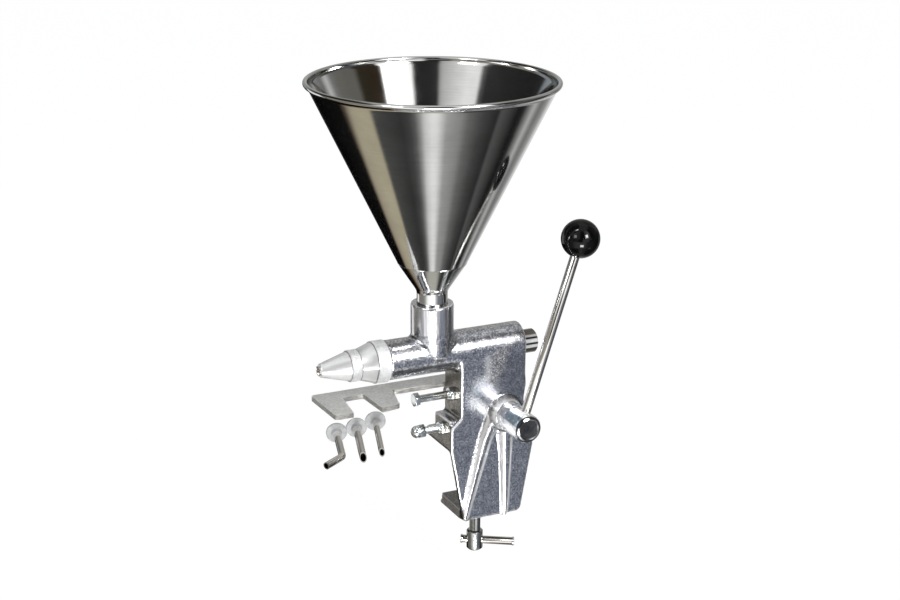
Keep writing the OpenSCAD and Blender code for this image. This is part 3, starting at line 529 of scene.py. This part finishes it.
# Finish of each material slot, and of the pieces that need one of their own
FINISH = {
    "cast_body": cast_metal(),
    "fork_casting": fork_metal(),
    "polished_stainless": metal("polished sheet", (0.80, 0.80, 0.785), (0.70, 0.70, 0.685),
                                roughness=(0.055, 0.12), blotch=30, lines=(12, 12, 900),
                                line_scale=1.6, bump=0.000015),
    "turned_aluminium": nozzle_aluminium(),
    "clamp_steel": metal("clamp steel", (0.50, 0.51, 0.49), (0.36, 0.37, 0.36),
                         roughness=(0.10, 0.18), blotch=200, lines=(20, 20, 500),
                         line_scale=2.0, bump=0.00002),
    "piston_steel": piston_steel(),
    "drawn_tube": metal("drawn tube", (0.84, 0.81, 0.77), (0.78, 0.75, 0.71),
                        roughness=(0.07, 0.12), blotch=60, lines=(20, 20, 20), line_scale=1.6),
    "polished_steel": metal("polished steel", (0.86, 0.84, 0.81), (0.70, 0.68, 0.65),
                            roughness=(0.06, 0.14), blotch=60, lines=(900, 900, 9), line_scale=1.6,
                            turn=(0, -LEVER_LEAN, 0)),
    "hub": hub_steel(),
    "bright_steel": metal("bright hub steel", (0.90, 0.91, 0.93), (0.80, 0.82, 0.85),
                          roughness=(0.06, 0.13), blotch=90, lines=(700, 9, 700), line_scale=1.4),
    "flange": metal("turned flange", (0.50, 0.505, 0.51), (0.36, 0.365, 0.37),
                    roughness=(0.50, 0.62), blotch=200, lines=(60, 60, 60),
                    line_scale=3.0, bump=0.00002, metallic=0.3),
    "zinc_steel": metal("zinc plating", (0.86, 0.88, 0.87), (0.68, 0.72, 0.73),
                        roughness=(0.07, 0.16), blotch=300, lines=(300, 60, 60),
                        line_scale=3.0, bump=0.00005, metallic=0.95),
    "dark_steel": metal("blackened steel", (0.12, 0.12, 0.125), (0.05, 0.05, 0.055),
                        roughness=(0.30, 0.45), blotch=400, lines=(1, 1, 1),
                        line_scale=900, bump=0.0001, metallic=0.9),
    "plain_steel": metal("machined steel", (0.62, 0.63, 0.64), (0.45, 0.46, 0.48),
                         roughness=(0.25, 0.40), blotch=200, lines=(30, 500, 30),
                         line_scale=3.0, bump=0.00005),
    "bearing_bronze": metal("bearing bronze", (0.72, 0.50, 0.24), (0.55, 0.36, 0.16),
                            roughness=(0.25, 0.40), blotch=200, lines=(30, 500, 30),
                            line_scale=3.0, bump=0.00005),
    "seal_white": plastic("white seal", (0.80, 0.80, 0.77), (0.88, 0.88, 0.85),
                          roughness=(0.45, 0.60)),
    "knob_black": plastic("black knob", (0.002, 0.002, 0.002), (0.004, 0.004, 0.0045),
                          roughness=(0.012, 0.03), shine=0.25),
    "cap_black": plastic("black cap", (0.012, 0.012, 0.014), (0.035, 0.035, 0.04),
                         roughness=(0.22, 0.34), coat=0.3),
}


# Mesh helpers

def piece(name, bm, *nodes, sharp=32, body=None, slot=None, finish=None):
    """Makes a finished piece that stands for the given nodes and rides on
    their body."""
    mesh = bpy.data.meshes.new(name)
    bm.to_mesh(mesh)
    bm.free()
    packed_normals = mesh.attributes.get("custom_normal")
    if packed_normals:
        mesh.attributes.remove(packed_normals)
    obj = bpy.data.objects.new(name, mesh)
    bpy.context.scene.collection.objects.link(obj)
    slot = slot or SLOT_OF[nodes[0]]
    mesh.materials.append(FINISH[finish or slot])
    mesh.shade_smooth()
    mesh.set_sharp_from_angle(angle=math.radians(sharp))
    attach(obj, body or BODY_OF[nodes[0]])
    if nodes:
        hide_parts(*nodes)
    return obj


def merged(node):
    """Copy of a node's mesh with its doubled points joined."""
    bm = bmesh.new()
    bm.from_mesh(frame["nodes"][node].data)
    bmesh.ops.remove_doubles(bm, verts=bm.verts, dist=0.002 * MM)
    return bm


def bevel_sharp(bm, width, segments=2, angle=25):
    """Rounds every edge sharper than the angle; width in millimetres."""
    edges = [e for e in bm.edges if len(e.link_faces) == 2 and e.calc_face_angle(0) > math.radians(angle)]
    bmesh.ops.bevel(bm, geom=edges, offset=width * MM, offset_type="OFFSET", affect="EDGES",
                    segments=segments, profile=0.5, material=-1, clamp_overlap=True)


def rounded(name, node, width, segments=2, sharp=40, finish=None):
    """A node's own shape with its flat faces joined and its edges broken."""
    bm = merged(node)
    bmesh.ops.dissolve_limit(bm, angle_limit=math.radians(0.6), verts=bm.verts, edges=bm.edges)
    bevel_sharp(bm, width, segments)
    piece(name, bm, node, sharp=sharp, finish=finish)


def plain(name, node, finish=None):
    """A node's own shape as it is, its round faces smooth."""
    piece(name, merged(node), node, sharp=30, finish=finish)


def lathe(profile, steps=96):
    """Closed outline of radius and height pairs, in millimetres, spun round Z.
    Points on the axis make a closed end."""
    bm = bmesh.new()
    ring = [bm.verts.new((r * MM, 0, z * MM)) for r, z in profile]
    closed = min(r for r, z in profile) > 0
    pairs = zip(ring, ring[1:] + ring[:1]) if closed else zip(ring, ring[1:])
    edges = [bm.edges.new(pair) for pair in pairs]
    bmesh.ops.spin(bm, geom=ring + edges, axis=(0, 0, 1), cent=(0, 0, 0), dvec=(0, 0, 0),
                   angle=2 * math.pi, steps=steps, use_merge=True)
    bmesh.ops.remove_doubles(bm, verts=bm.verts, dist=0.001 * MM)
    bmesh.ops.recalc_face_normals(bm, faces=bm.faces)
    return bm


def along_x(x=0.0, y=0.0, z=0.0):
    """From the lathe's Z to the machine's X, the origin at the given place."""
    return Matrix.Translation(Vector((x, y, z)) * MM) @ Matrix.Rotation(math.pi / 2, 4, "Y")


def along_y(x=0.0, y=0.0, z=0.0):
    """From the lathe's Z to the machine's -Y."""
    return Matrix.Translation(Vector((x, y, z)) * MM) @ Matrix.Rotation(math.pi / 2, 4, "X")


def along_z(x=0.0, y=0.0, z=0.0):
    """The lathe's Z kept, the origin at the given place."""
    return Matrix.Translation(Vector((x, y, z)) * MM)


def arc(cx, cz, r, start, end, count=6):
    """Points of an arc in the outline's plane, angles in degrees."""
    turns = [math.radians(start + (end - start) * i / count) for i in range(count + 1)]
    return [(cx + r * math.cos(t), cz + r * math.sin(t)) for t in turns]


# Casting

def remeshed(obj, size):
    """Even mesh of quads over an object's shape."""
    change = obj.modifiers.new("even", "REMESH")
    change.mode = "VOXEL"
    change.voxel_size = size
    change.use_smooth_shade = True
    graph = bpy.context.evaluated_depsgraph_get()
    mesh = bpy.data.meshes.new_from_object(obj.evaluated_get(graph))
    obj.modifiers.clear()
    return mesh


# Mesh of the casting: size of its faces, rounds of smoothing everywhere and in
# hollow corners, how far smoothing lifts a point that lies in a hollow, and how
# far it lowers one that counts as fully worn and gets the full painted highlight;
# all lengths in millimetres
VOXEL = 1.4
SMOOTHINGS = 4
FILLINGS = 14
HOLLOW = 0.06
FULL_WEAR_AND_HIGHLIGHT = 0.34

# Bores of the casting: axis, the two other coordinates of its middle, radius,
# and where it starts and ends along the axis
BORES = [
    ("X", (0, PUMP_Z), BORE_R + 0.06, -122, 45), ("Z", (HOPPER_X, 0), 16.1, 136.5, 162),
    ("Z", (HOPPER_X, 0), 12.0, 112, 137), ("Y", (SHAFT_X, SHAFT_Z), 10.05, -33, -14),
    ("Y", (SHAFT_X, SHAFT_Z), 10.05, 14, 25), ("X", (0, 58), 4.05, -32, -24),
    ("X", (0, 22), 4.05, -43, -24), ("Z", (0, CLAMP_Y), 6.1, -81, -66),
    ("Y", (-22, 50), 3.05, 14, 21), ("Y", (-9, 50), 3.05, 14, 21)]
# No point of the pump's bore stands inside this, so that the piston runs free
# past the port
PUMP_CLEAR = ("X", (0, PUMP_Z), BORE_R + 0.12, -122, 45)
# Outer round faces that keep their radius
ROUNDS = [("X", (0, BARREL_Z), BARREL_R, -108, -82), ("X", (0, BARREL_Z), SPIGOT_R, -121, -110),
          ("Z", (HOPPER_X, 0), NECK_R, NECK_LOW, 159.6), ("Y", (SHAFT_X, SHAFT_Z), 16.5, -31.4, -24.5)]
# How far outside and inside a bore's wall, and off an outer round face, a point
# is moved onto it
BORE_REACH = (1.3, 2.6)
ROUND_REACH = 0.8


def snap_round(bm, axis, middle, radius, start, end, reach, inner=None):
    """Moves points near a round face onto it, from up to reach outside it
    and inner inside."""
    inner = inner or reach
    along = "XYZ".index(axis)
    others = [i for i in range(3) if i != along]
    for v in bm.verts:
        if not start * MM < v.co[along] < end * MM:
            continue
        off = [v.co[o] - m * MM for o, m in zip(others, middle)]
        distance = math.hypot(*off)
        if -inner * MM < distance - radius * MM < reach * MM:
            for o, m, d in zip(others, middle, off):
                v.co[o] = m * MM + d * radius * MM / distance


# Side plate: its outer face, top and left end, and the boss on it with its fillet
PLATE_Y = -20.3
PLATE_TOP = 86
PLATE_LEFT = -42
BOSS_R = 17.5
BOSS_H = 11.5
BOSS_FILLET = 1.6
# Radii between which the boss is drawn in, by up to a millimetre
DRAWN_START = 15.3
DRAWN_END = 22
# Borders of the casting's painted shade: the jaw's top, the top of the plate's dark
# front edge, and where the upper rear begins along X and Z
JAW_TOP = -48
FRONT_EDGE_TOP = -20
UPPER_REAR = (12, 44)
# Ribs of the side plate: height above the seat, left foot, left and right
# edges of the flat top, and how far the top stands out
LEFT_RIB = [(-80, -30.4, -28.6, -24.8, 2.2), (-61, -27.2, -24.2, -19.8, 3.2), (10, -11.2, -6.5, 1.5, 5.4),
            (36, -2.2, 2.8, 10.5, 7.0)]
RIGHT_RIB = [(-80, 16.6, 19.0, 22.4, 3.0), (-64, 16.1, 18.9, 23.2, 3.6), (6, 13.0, 15.6, 25.1, 5.6),
             (24, 12.2, 14.8, 26.6, 7.0)]


def rib_height(rib, x, z):
    """How far a rib stands out of the plate at a place, in millimetres."""
    if z > rib[-1][0]:
        return 0.0
    for low, high in zip(rib, rib[1:]):
        if z <= high[0]:
            t = max(0.0, (z - low[0]) / (high[0] - low[0]))
            foot, left, right, tall = [a + (b - a) * t for a, b in zip(low[1:], high[1:])]
            rise = (x - foot) / (left - foot)
            fall = (right + 0.7 - x) / 0.9
            return tall * max(0.0, min(1.0, rise, fall))
    return 0.0


def boss_height(x, z):
    """How far the small fillet round the lever's boss stands out; x and z are
    counted from the shaft."""
    r = math.hypot(x, z)
    return BOSS_H * (1 - min(1.0, (r - BOSS_R) / BOSS_FILLET)) ** 2.4


def near_boss(co, reach):
    """True for places round the lever's boss."""
    return math.hypot(co.x / MM - SHAFT_X, co.z / MM - SHAFT_Z) < BOSS_R + reach


def shape_plate(v):
    """Gives the plate's outer face its ribs and the small fillet round the boss."""
    x, z = v.co.x / MM, v.co.z / MM
    if v.co.y / MM > PLATE_Y + 0.35 or z > PLATE_TOP or x < PLATE_LEFT:
        return
    if math.hypot(x - SHAFT_X, z - SHAFT_Z) < BOSS_R + 0.2:
        return
    tall = max(rib_height(LEFT_RIB, x, z), rib_height(RIGHT_RIB, x, z),
               boss_height(x - SHAFT_X, z - SHAFT_Z))
    v.co.y = (PLATE_Y - tall) * MM


def slim_boss(v):
    """Draws the boss in a little, so that less of its face stands out round
    the hub."""
    off = Vector((v.co.x - SHAFT_X * MM, 0, v.co.z - SHAFT_Z * MM))
    radius = off.length / MM
    height = PLATE_Y - v.co.y / MM
    if height < 1 or radius < DRAWN_START:
        return
    inside = min(1.0, (radius - DRAWN_START) / 2.2)
    outside = min(1.0, max(0.0, (DRAWN_END - radius) / 4.5))
    pull = inside * outside * min(1.0, (height - 1) / 3)
    v.co -= off.normalized() * pull * MM


def shade_at(co, normal):
    """How much painted shade a place gets: the jaw and the plate's lower front
    edge are nearly black, the boss's face and foot half dark, the plate's
    upper rear a little darker."""
    x, y, z = (c / MM for c in co)
    if z < JAW_TOP and y > PLATE_Y + 3:
        return 0.75
    if normal.x < -0.35 and z < FRONT_EDGE_TOP and y > PLATE_Y - 0.6:
        return 1.0
    if y < PLATE_Y - BOSS_H + 0.7:
        return 0.6
    if y < PLATE_Y + 1 and near_boss(co, 2.4) and not near_boss(co, 0.3):
        return 0.5
    start, low = UPPER_REAR
    if y < PLATE_Y + 1 and z > low and not near_boss(co, 1):
        return 0.26 * min(1.0, max(0.0, (x - start) / 14)) * min(1.0, max(0.0, (104 - z) / 12))
    return 0.0


# Painted highlight streaks: points as X and Z on the plate's face, half width at
# the first and the last of them, amount
PAINTED_HIGHLIGHTS = [
    ([(1.0, 32.5), (-7.6, 9.4), (-25.0, -61.3), (-29.3, -76.5)], 3.2, 2.0, 0.75),
    ([(10.5, 19.7), (3.7, 7.4), (-18.3, -62.6), (-22.3, -76.8)], 1.5, 1.3, 1.0),
    ([(15.8, 14.3), (15.6, 5.2), (18.3, -63.9), (18.0, -77.8)], 2.2, 2.0, 0.7),
    ([(27.8, 6.5), (24.9, -65.2), (24.0, -78.9)], 1.4, 1.2, 1.0),
    ([(-1.0, 79.0), (-1.0, 98.0)], 4.6, 4.6, 0.5),
    ([(-8.5, 67.5), (6.0, 52.5)], 3.2, 2.6, 0.55),
    ([(-18.0, 54.5), (-6.0, 43.5), (1.0, 33.0)], 4.6, 3.4, 0.5),
]
# Shift along X and Z, on the way from the camera to the plate's face, for each
# millimetre that a place stands out of it
SEEN_X = 0.48
SEEN_Z = -0.36
# Parts of the boss with a stronger painted highlight, in degrees from upright to the left
BOSS_HIGHLIGHTS = ((-60, 22), (76, 140))


def streak_at(streak, x, z):
    """How bright one painted highlight streak is at a place."""
    points, wide, narrow, amount = streak
    best = 0.0
    count = len(points) - 1
    for i, (a, b) in enumerate(zip(points, points[1:])):
        dx, dz = b[0] - a[0], b[1] - a[1]
        t = ((x - a[0]) * dx + (z - a[1]) * dz) / (dx * dx + dz * dz)
        t = min(1.0, max(0.0, t))
        away = math.hypot(x - a[0] - dx * t, z - a[1] - dz * t)
        half = wide + (narrow - wide) * (i + t) / count
        best = max(best, amount * math.exp(-(away / half) ** 4))
    return best


def highlight_streaks(co):
    """How much painted highlight a place on the plate, its ribs or its boss gets."""
    x, y, z = (c / MM for c in co)
    if y > PLATE_Y + 1:
        return 0.0
    out = PLATE_Y - y
    if math.hypot(x - SHAFT_X, z - SHAFT_Z) < BOSS_R + 1.5 and out > 1.5:
        turn = math.degrees(math.atan2(SHAFT_X - x, z - SHAFT_Z))
        return 0.55 if any(start < turn < end for start, end in BOSS_HIGHLIGHTS) else 0.2
    seen = (x + SEEN_X * out, z + SEEN_Z * out)
    return max(streak_at(streak, *seen) for streak in PAINTED_HIGHLIGHTS)


def paint(obj, name, amounts):
    """Lets a mesh carry an amount at each point."""
    layer = obj.data.attributes.new(name, "FLOAT", "POINT")
    for value, amount in zip(layer.data, amounts):
        value.value = amount


def even_casting():
    """Even mesh over the casting's solid."""
    bm = merged("main_casting")
    mesh = bpy.data.meshes.new("casting")
    bm.to_mesh(mesh)
    bm.free()
    source = bpy.data.objects.new("casting", mesh)
    bpy.context.scene.collection.objects.link(source)
    even = remeshed(source, VOXEL * MM)
    bpy.data.objects.remove(source)
    bm = bmesh.new()
    bm.from_mesh(even)
    return bm


def main_casting():
    """The casting with its fillets and rounded edges, painted highlights on its worn edges and streaks, and
    painted shade.
    """
    bm = even_casting()
    for v in bm.verts:
        shape_plate(v)
        slim_boss(v)
    before = [v.co.copy() for v in bm.verts]
    bm.normal_update()
    normals = [v.normal.copy() for v in bm.verts]
    smooth = dict(factor=0.5, use_axis_x=True, use_axis_y=True, use_axis_z=True)
    for _ in range(SMOOTHINGS):
        bmesh.ops.smooth_vert(bm, verts=bm.verts, **smooth)
    hollow = [v for v, old, n in zip(bm.verts, before, normals)
              if (v.co - old).dot(n) > HOLLOW * MM
              and not (v.co.y < (PLATE_Y + 2) * MM and near_boss(v.co, 5))]
    for _ in range(FILLINGS):
        bmesh.ops.smooth_vert(bm, verts=hollow, **smooth)
    for bore in BORES:
        snap_round(bm, *bore, *BORE_REACH)
    snap_round(bm, *PUMP_CLEAR, reach=0, inner=5)
    for outside in ROUNDS:
        snap_round(bm, *outside, ROUND_REACH)

    # Edge wear from how far smoothing lowered a point, also shown as a painted highlight
    edge_wear_and_highlight = [max(0.0, (old - v.co).dot(n)) / (FULL_WEAR_AND_HIGHLIGHT * MM)
            for v, old, n in zip(bm.verts, before, normals)]
    # The walls below the barrel that look to the front, darkened as painted shade
    walls = [1.0 if n.x < -0.6 and v.co.z < (BARREL_Z - 18) * MM else 0.0
             for v, n in zip(bm.verts, normals)]
    # Painted highlight streaks at each point
    highlight_amounts = [highlight_streaks(v.co) for v in bm.verts]
    # Painted shade at each point
    shades = [shade_at(v.co, n) for v, n in zip(bm.verts, normals)]
    obj = piece("casting_body", bm, "main_casting", sharp=60)
    # Painted highlight of worn edges and streaks, weaker where painted shade lies
    paint(obj, "wear_and_highlight", [min(1.0, max(streak_highlight, (amount - 0.25) * 1.2, 0.0)) * (1 - 0.75 * shade)
                          for amount, streak_highlight, shade in zip(edge_wear_and_highlight, highlight_amounts, shades)])
    paint(obj, "walls", walls)
    paint(obj, "turned", [1.0 if v.co.z > NECK_LOW * MM else 0.0 for v in obj.data.vertices])
    paint(obj, "shaded", shades)


# Hopper

RIM_R = 124.38
RIM_Z = 387.0
BEAD_R = 2.5
WELD_R = 35.3
WELD_Z = 204.0
SHEET = 1.2
SPOUT_R = 15.8
SPOUT_LOW = 139.0
FUNNEL_Z = 174.0
FILLET = 12.0
# Rows of the cone's sheet, as shares of the way from weld to rim
CONE_ROWS = [i / 12 for i in range(12)] + [0.968, 0.978]


def hopper():
    """Cone of polished sheet with its rolled rim, the weld, and the funnel
    with its spout."""
    over_neck = (HOPPER_X * MM, 0, 0)
    slope = math.atan2(RIM_R - WELD_R, RIM_Z - WELD_Z)
    inward = Vector((-math.cos(slope), math.sin(slope))) * SHEET
    outer = [(WELD_R + (RIM_R - WELD_R) * t, WELD_Z + (RIM_Z - WELD_Z) * t) for t in CONE_ROWS]
    bead = arc(RIM_R, RIM_Z, BEAD_R, -80, 190, 16)
    inner = [(r + inward.x, z + inward.y) for r, z in reversed(outer)]
    bm = lathe(outer + bead + inner, 192)
    bmesh.ops.translate(bm, vec=over_neck, verts=bm.verts)
    piece("hopper_sheet_cone", bm, "hopper_cone", sharp=35)

    lean = math.atan2(WELD_R - SPOUT_R, WELD_Z - FUNNEL_Z)
    foot = FUNNEL_Z - FILLET * math.tan(lean / 2)
    turn = 180 - math.degrees(lean)
    seam = [(WELD_R - 1.35, WELD_Z + 0.4), (WELD_R + 0.05, WELD_Z + 0.3), (WELD_R + 0.16, WELD_Z),
            (WELD_R - 0.12, WELD_Z - 0.5)]
    outside = arc(SPOUT_R + FILLET, foot, FILLET, turn, 180, 8)
    outside += [(SPOUT_R, SPOUT_LOW + 0.4), (SPOUT_R - 0.4, SPOUT_LOW)]
    inside = [(SPOUT_R - SHEET, SPOUT_LOW)] + arc(SPOUT_R + FILLET, foot, FILLET + SHEET, 180, turn, 8)
    bm = lathe(seam + outside + inside, 144)
    bmesh.ops.translate(bm, vec=over_neck, verts=bm.verts)
    piece("hopper_funnel_and_spout", bm, "hopper_funnel", sharp=35)


# Nozzle, union nut and outlet tube

# Radii of the nut over its thread and at its front, and the turn of its flats
NUT_THREAD_R = 18.05
NUT_BORE_R = 13.55
FLATS_TURN = math.radians(25)
# Nozzle: its sleeve in the nut, the hollow in it and the hole for the outlet tube
SLEEVE_R = 13.5
SLEEVE_END = -122.9
HOLLOW_R = 11.3
OUTLET_R = 5.45


def union_nut():
    """Ring with a fine groove and a cone with two spanner flats."""
    back = BARREL_FRONT - 0.05
    ring = [(NUT_THREAD_R, back), (NUT_R - 0.6, back), (NUT_R, back - 0.6), (NUT_R, back - 4.2),
            (NUT_R - 0.25, back - 4.6), (NUT_R - 0.25, back - 4.9), (NUT_R, back - 5.3),
            (NUT_R, NUT_SHOULDER + 0.8), (NUT_R - 0.8, NUT_SHOULDER)]
    cone = [(NUT_R - 0.85, NUT_SHOULDER - 0.02), (NOZZLE_R - 0.35, NUT_FRONT + 0.5),
            (NOZZLE_R - 0.9, NUT_FRONT)]
    inner = [(NUT_BORE_R, NUT_FRONT), (NUT_BORE_R, -120.85), (NUT_THREAD_R, -122.85)]
    bm = lathe(ring + cone + inner, 128)
    bm.transform(along_x(z=BARREL_Z))
    for side in (1, -1):
        across = Vector((0, math.cos(FLATS_TURN), math.sin(FLATS_TURN))) * side
        flat = [v for v in bm.verts if v.co.x < (NUT_SHOULDER + 0.01) * MM]
        for v in flat:
            out = (v.co - Vector((0, 0, BARREL_Z * MM))).dot(across) - NUT_FLATS / 2 * MM
            if out > 0:
                v.co -= across * out
    piece("union_nut_ring_and_cone", bm, "union_nut", sharp=30)


def nozzle():
    """Nozzle with its grooved ring, its cone and the tip."""
    ring = [(SLEEVE_R, NUT_FRONT - 0.05), (NOZZLE_R - 0.7, NUT_FRONT - 0.05), (NOZZLE_R, NUT_FRONT - 0.7),
            (NOZZLE_R, NUT_FRONT - 5.0), (NOZZLE_R - 0.3, NUT_FRONT - 5.3), (NOZZLE_R - 0.3, NUT_FRONT - 5.7),
            (NOZZLE_R, NUT_FRONT - 6.0), (NOZZLE_R, NOZZLE_SHOULDER + 0.8), (NOZZLE_R - 0.8, NOZZLE_SHOULDER)]
    cone = [(NOZZLE_R - 1.1, NOZZLE_SHOULDER), (TIP_R + 0.35, TIP_X + 0.9), (TIP_R, TIP_X + 0.35),
            (TIP_R - 0.4, TIP_X)]
    inner = [(OUTLET_R, TIP_X), (OUTLET_R, NOZZLE_SHOULDER), (HOLLOW_R, NOZZLE_SHOULDER + 0.02),
             (HOLLOW_R, SLEEVE_END), (SLEEVE_R, SLEEVE_END)]
    bm = lathe(ring + cone + inner, 128)
    bm.transform(along_x(z=BARREL_Z))
    piece("nozzle_cone", bm, "nozzle", sharp=30)
    rounded("outlet_tube_body", "outlet_tube", 0.15, sharp=30)


# Lever

# Ball knob and the hole that its rod enters
BALL_R = 20.0
ROD_HOLE_R = 5.05
# Hub cap: radii of the whole and of its dish, and along the shaft its back and
# the middle of the dish
CAP_R = 14.0
DISH_R = 10.4
CAP_BACK = 70.7
DISH_Y = 73.4


def ball_knob():
    """Moulded ball with a flat collar where the rod enters."""
    ball = [(0.0, BALL_R)] + arc(0, 0, BALL_R, 88, -68, 40)
    collar = [(6.6, -18.9), (ROD_HOLE_R, -18.9), (ROD_HOLE_R, -3.8), (0.0, -3.8)]
    bm = lathe(ball + collar)
    tilt = Matrix.Rotation(LEVER_LEAN, 4, "Y")
    bm.transform(along_z(SHAFT_X, LEVER_Y, SHAFT_Z) @ tilt @ along_z(z=BALL_UP))
    piece("lever_ball_knob", bm, "ball_knob", sharp=40)


def hub_cap():
    """Black cap with a rounded lip and a dish, and a bright ring between."""
    dish = [(0.0, DISH_Y)]
    dish += [(r, DISH_Y + 1.2 * (r / DISH_R) ** 2) for r in (2.4, 4.8, 7.2, 9.4, DISH_R)]
    step = [(10.8, 74.9), (11.3, 74.7), (12.6, 73.9)]
    lip = [(12.9, 74.2), (13.4, 74.2), (13.85, 73.8), (CAP_R, 73.2), (CAP_R, 71.6), (13.4, CAP_BACK),
           (0.0, CAP_BACK)]
    bm = lathe(dish + step + lip)
    bm.transform(along_y(SHAFT_X, 0, SHAFT_Z))
    piece("lever_hub_cap", bm, "hub_cap", sharp=25)
    ring = [(10.95, 73.9), (10.95, 74.95), (11.2, 75.0), (12.75, 74.1), (12.75, 73.7), (12.2, 73.6)]
    bm = lathe(ring)
    bm.transform(along_y(SHAFT_X, 0, SHAFT_Z))
    piece("hub_cap_ring", bm, body=BODY_OF["hub_cap"], slot=SLOT_OF["lever_hub"], sharp=30)


def lever():
    """Ball, rod, hub and cap, and the shaft with its arm inside the housing."""
    ball_knob()
    rounded("lever_round_rod", "lever_rod", 0.4)
    rounded("lever_hub_body", "lever_hub", 0.35, 3, finish="hub")
    hub_cap()
    rounded("hub_screws", "hub_set_screws", 0.15)
    rounded("lever_cross_shaft", "lever_shaft", 0.3)
    rounded("shaft_snap_ring", "shaft_ring", 0.1)
    rounded("drive_arm_forging", "drive_arm", 0.6, 3)
    rounded("drive_arm_key", "arm_key", 0.2)
    rounded("drive_arm_screw", "arm_set_screw", 0.15)


# Stops, clamp, fork and piston

def stops():
    """The two stop bolts with their nuts."""
    rounded("upper_stop_screw", "upper_stop_bolt", 0.25)
    rounded("upper_stop_nut", "upper_lock_nut", 0.25)
    rounded("lower_stop_screw", "lower_stop_stud", 0.3)
    rounded("lower_stop_nut", "lower_lock_nut", 0.25)
    rounded("lower_stop_cap_nut", "acorn_nut", 0.25)


def clamp():
    """Pressure pad, clamp screw and tommy bar."""
    rounded("clamp_pressure_pad", "pressure_pad", 0.4)
    rounded("clamp_spindle", "clamp_screw", 0.3, finish="clamp_steel")
    rounded("clamp_tommy_bar", "tommy_bar", 0.3, finish="drawn_tube")


def fork():
    """Support fork and its two screws."""
    rounded("fork_plate", "support_fork", 0.9, 3)
    rounded("fork_socket_screws", "fork_screws", 0.3)


def piston_parts():
    """Piston with its pin, and the seals, gaskets and bushes."""
    rounded("piston_rod", "piston", 0.3, finish="piston_steel")
    rounded("piston_cross_pin", "piston_pin", 0.4)
    for node in ("piston_seals", "hopper_gasket", "nozzle_gasket", "front_bush", "rear_bush"):
        rounded(node + "_dressed", node, 0.15)


# Filling tubes

# Bent tube: its two straight runs, the radius and the turn of its bend, and how
# far all that reaches
BENT_RUNS = (48, 22)
BEND_R = 8
BEND = math.radians(47)
BENT_REACH = BENT_RUNS[0] + BEND_R * math.sin(BEND) + BENT_RUNS[1] * math.cos(BEND)
# Flange: radius, thickness and the length of its collar
FLANGE_R = 11.0
FLANGE_T = 2.6
COLLAR = 5.0
# Outer diameter, place of the flange's foot and heading on the table, and the
# length in front of the flange that sets the tilt
TUBES = [("bent_tube_flange", 7.6, (-137.3, 61.3), -105.4, BENT_REACH),
         ("large_tube_flange", 7.6, (-112.9, 65.3), -106.7, 69.0),
         ("small_tube_flange", 6.4, (-87.3, 74.0), -107.7, 72.0)]


def flange(node, d, foot, heading, reach):
    """Turned flange with a short collar, leaning on its rim."""
    tube = d / 2
    hole = tube + 0.05
    disc = [(hole, -2.4), (hole + 0.2, -FLANGE_T), (10.2, -FLANGE_T), (10.7, -2.55), (10.95, -2.3),
            (FLANGE_R, -2.0), (FLANGE_R, -0.6), (10.95, -0.3), (10.7, -0.05), (10.2, 0), (9.6, 0)]
    collar = [(tube + 3.4, 0), (tube + 2.6, 0), (tube + 2.05, 0.15), (tube + 1.9, 0.5), (tube + 1.8, 1.0),
              (tube + 1.3, 4.2), (tube + 1.15, 4.8), (tube + 0.85, COLLAR), (hole + 0.1, COLLAR),
              (hole, 4.8), (hole, 4.2), (hole, -1.8)]
    bm = lathe(disc + collar)
    tilt = math.asin((FLANGE_R - tube) / (reach + FLANGE_T))
    turned = Matrix.Rotation(math.radians(heading), 4, "Z") @ Matrix.Rotation(tilt, 4, "Y")
    bm.transform(along_z(*foot) @ turned @ along_x(FLANGE_T, 0, FLANGE_R))
    piece(node + "_disc", bm, node, sharp=50, finish="flange")


def filling_tubes():
    """The three loose tubes, each with its flange."""
    for node in ("bent_filling_tube", "large_filling_tube", "small_filling_tube"):
        plain(node + "_pipe", node, finish="drawn_tube")
    for tube in TUBES:
        flange(*tube)


add_camera()
add_studio()
main_casting()
hopper()
union_nut()
nozzle()
lever()
stops()
clamp()
fork()
piston_parts()
filling_tubes()
